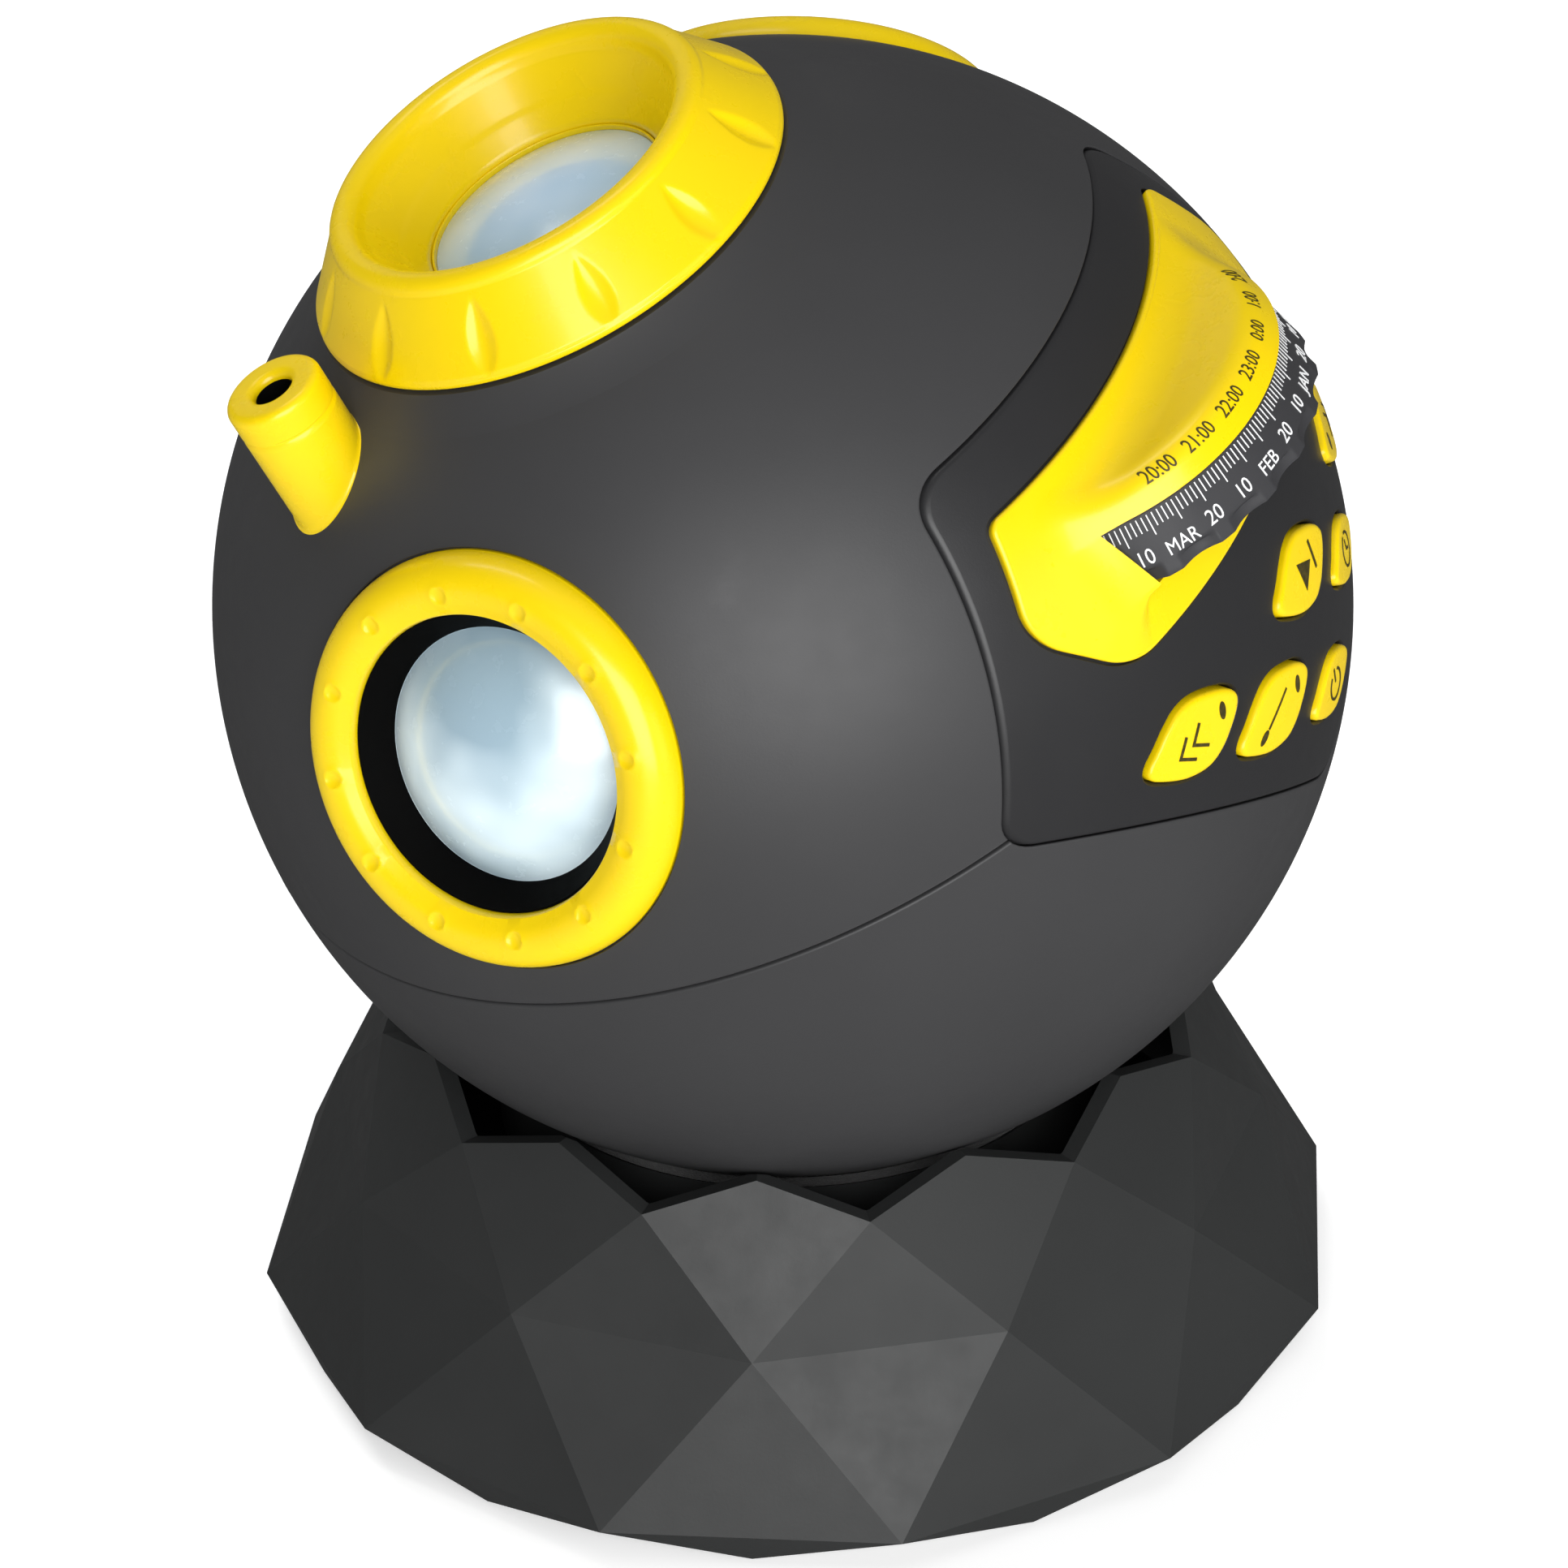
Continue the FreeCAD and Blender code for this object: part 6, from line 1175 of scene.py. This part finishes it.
def chevron(x, y, side):
    return strokeFlat([(x + side * 2.4, y + 2.1), (x, y), (x + side * 2.4, y - 2.1)], 0.5)


def arcStroke(x, y, radius, start, end, width):
    return strokeFlat(arc((x, y), radius, start, end, 20), width)


def dotSign(x, y):
    return ovalFlat(x, y, 1.3, 2.7, -20)


buttonSigns = {
    "back": [chevron(-1.4, -0.4, 1), chevron(-4.3, -0.5, 1), dotSign(5.5, -0.1)],
    "forward": [chevron(1.6, -0.4, -1), chevron(4.5, -0.5, -1), dotSign(-5.5, 0.1)],
    "play": [polygonFlat([(-1.8, -2.4), (2.2, 0.0), (-1.8, 2.4)], 1.0),
             strokeFlat([(3.1, -2.3), (3.7, 2.2)], 0.6)],
    "pointer": [strokeFlat([(2.7, 1.8), (-3.6, -0.35)], 0.42), ovalFlat(-5.0, -0.75, 2.6, 1.2, 18),
                dotSign(5.5, -0.1)],
    "timer": [arcStroke(0, 0, 2.5, 100, 440, 0.4), strokeFlat([(0, 1.6), (0, 0), (1.2, -0.6)], 0.4)],
    "power": [arcStroke(0, -0.1, 2.3, 120, 420, 0.45), strokeFlat([(0, 0.3), (0, 2.7)], 0.45)],
}


# A button's sign, bent onto the crown's sphere: z = root of (radius^2 - x^2 - y^2).
def buildButtonSign(name, across, up):
    crown = ball["radius"] + leaf["crown"]

    def bend(x, y, height):
        return np.stack([x, y, np.sqrt(crown ** 2 - x ** 2 - y ** 2) + height], -1)

    piece = inkPiece(f"{name}Sign", buttonSigns[name], bend, buttonSpot(across, up))
    finishPiece(piece, finish["ink"], "yellow_gloss", f"button_{name}")


buildVisor()
buildControlPanel()
for buttonName, buttonPlace in buttonPlaces.items():
    buildButton(buttonName, *buttonPlace)
buildDateDial()
print("panel, visor, dial and buttons built")
buildDialPrint()
buildHourPrint()
for buttonName, buttonPlace in buttonPlaces.items():
    buildButtonSign(buttonName, *buttonPlace[:2])
print("print laid on")

# The stage, in metres.
floor = {"reach": 9.0, "cells": 60, "shift": 1.0, "height": -0.0006, "glow": 0.4}
lights = {
    "key": {"place": (0.12, -1.85, 0.82), "target": (0, 0, 0.12), "size": (1.7, 1.3), "power": 38},
    "side": {"place": (1.4, -1.0, 0.5), "target": (0, 0, 0.05), "size": (0.8, 0.8), "power": 14},
    "top": {"place": (0.0, 0.3, 2.4), "target": (0, 0, 0), "size": (3.2, 3.2), "power": 20},
    "back": {"place": (-0.7, 1.9, 1.1), "target": (0, 0, 0.1), "size": (1.6, 1.4), "power": 34},
    "streak": {"place": (-0.6, 0.35, 1.6), "target": (0, 0, 0.15), "size": (0.2, 0.9), "power": 2},
}
glossyLights = ("key", "streak")  # the others leave no mirror image
room = {"strength": 0.1}
view = {"place": (0, -0.6260783, 0.4505004), "angles": (59.71463, 1.40187, -0.76632), "lens": 108.61,
        "sensor": 36.0, "near": 0.05, "far": 50}


# A pale flat sheet just under the feet, larger than the view, whose shade varies by a very slow noise.
def buildFloor():
    cells, reach = floor["cells"] + 1, floor["reach"]
    x, y = np.meshgrid(np.linspace(-reach, reach, cells), np.linspace(-reach, reach, cells))
    points = np.stack([x, y + floor["shift"], np.full_like(x, floor["height"])], -1)
    piece = meshObject("floor", points.reshape(-1, 3), gridFaces(cells, cells, False, False))
    glow = {"Emission Strength": floor["glow"], "Emission Color": (1, 1, 1, 1)}
    material, tree, shader, where = newFinish("floorPaper", (0.9, 0.9, 0.9), 0.8, **glow)
    shade = mixedColour(tree, noiseNode(tree, where, 3, 2), (0.88, 0.88, 0.88), (0.92, 0.92, 0.92))
    tree.links.new(shade, shader.inputs["Base Color"])
    piece.data.materials.append(material)
    piece.visible_glossy = False


def buildLight(name, place, target, size, power):
    lamp = bpy.data.lights.new(name, "AREA")
    lamp.shape, lamp.size, lamp.size_y = "RECTANGLE", size[0], size[1]
    lamp.energy = power
    holder = bpy.data.objects.new(name, lamp)
    bpy.context.scene.collection.objects.link(holder)
    holder.location = place
    holder.rotation_euler = (Vector(target) - Vector(place)).to_track_quat("-Z", "Y").to_euler()
    holder.visible_glossy = name in glossyLights


def buildRoom():
    world = bpy.data.worlds.new("room")
    world.use_nodes = True
    background = world.node_tree.nodes["Background"]
    background.inputs["Color"].default_value = (1, 1, 1, 1)
    background.inputs["Strength"].default_value = room["strength"]
    bpy.context.scene.world = world
    bpy.context.scene.view_settings.view_transform = "Standard"


def buildCamera():
    camera = bpy.data.cameras.new("view")
    camera.sensor_width, camera.sensor_fit, camera.lens = view["sensor"], "HORIZONTAL", view["lens"]
    camera.clip_start, camera.clip_end = view["near"], view["far"]
    holder = bpy.data.objects.new("view", camera)
    turn = Euler([math.radians(angle) for angle in view["angles"]])
    holder.matrix_world = Matrix.LocRotScale(Vector(view["place"]), turn, None)
    bpy.context.scene.collection.objects.link(holder)
    bpy.context.scene.camera = holder


buildFloor()
for lightName, light in lights.items():
    buildLight(lightName, **light)
buildRoom()
buildCamera()
print("stage built")
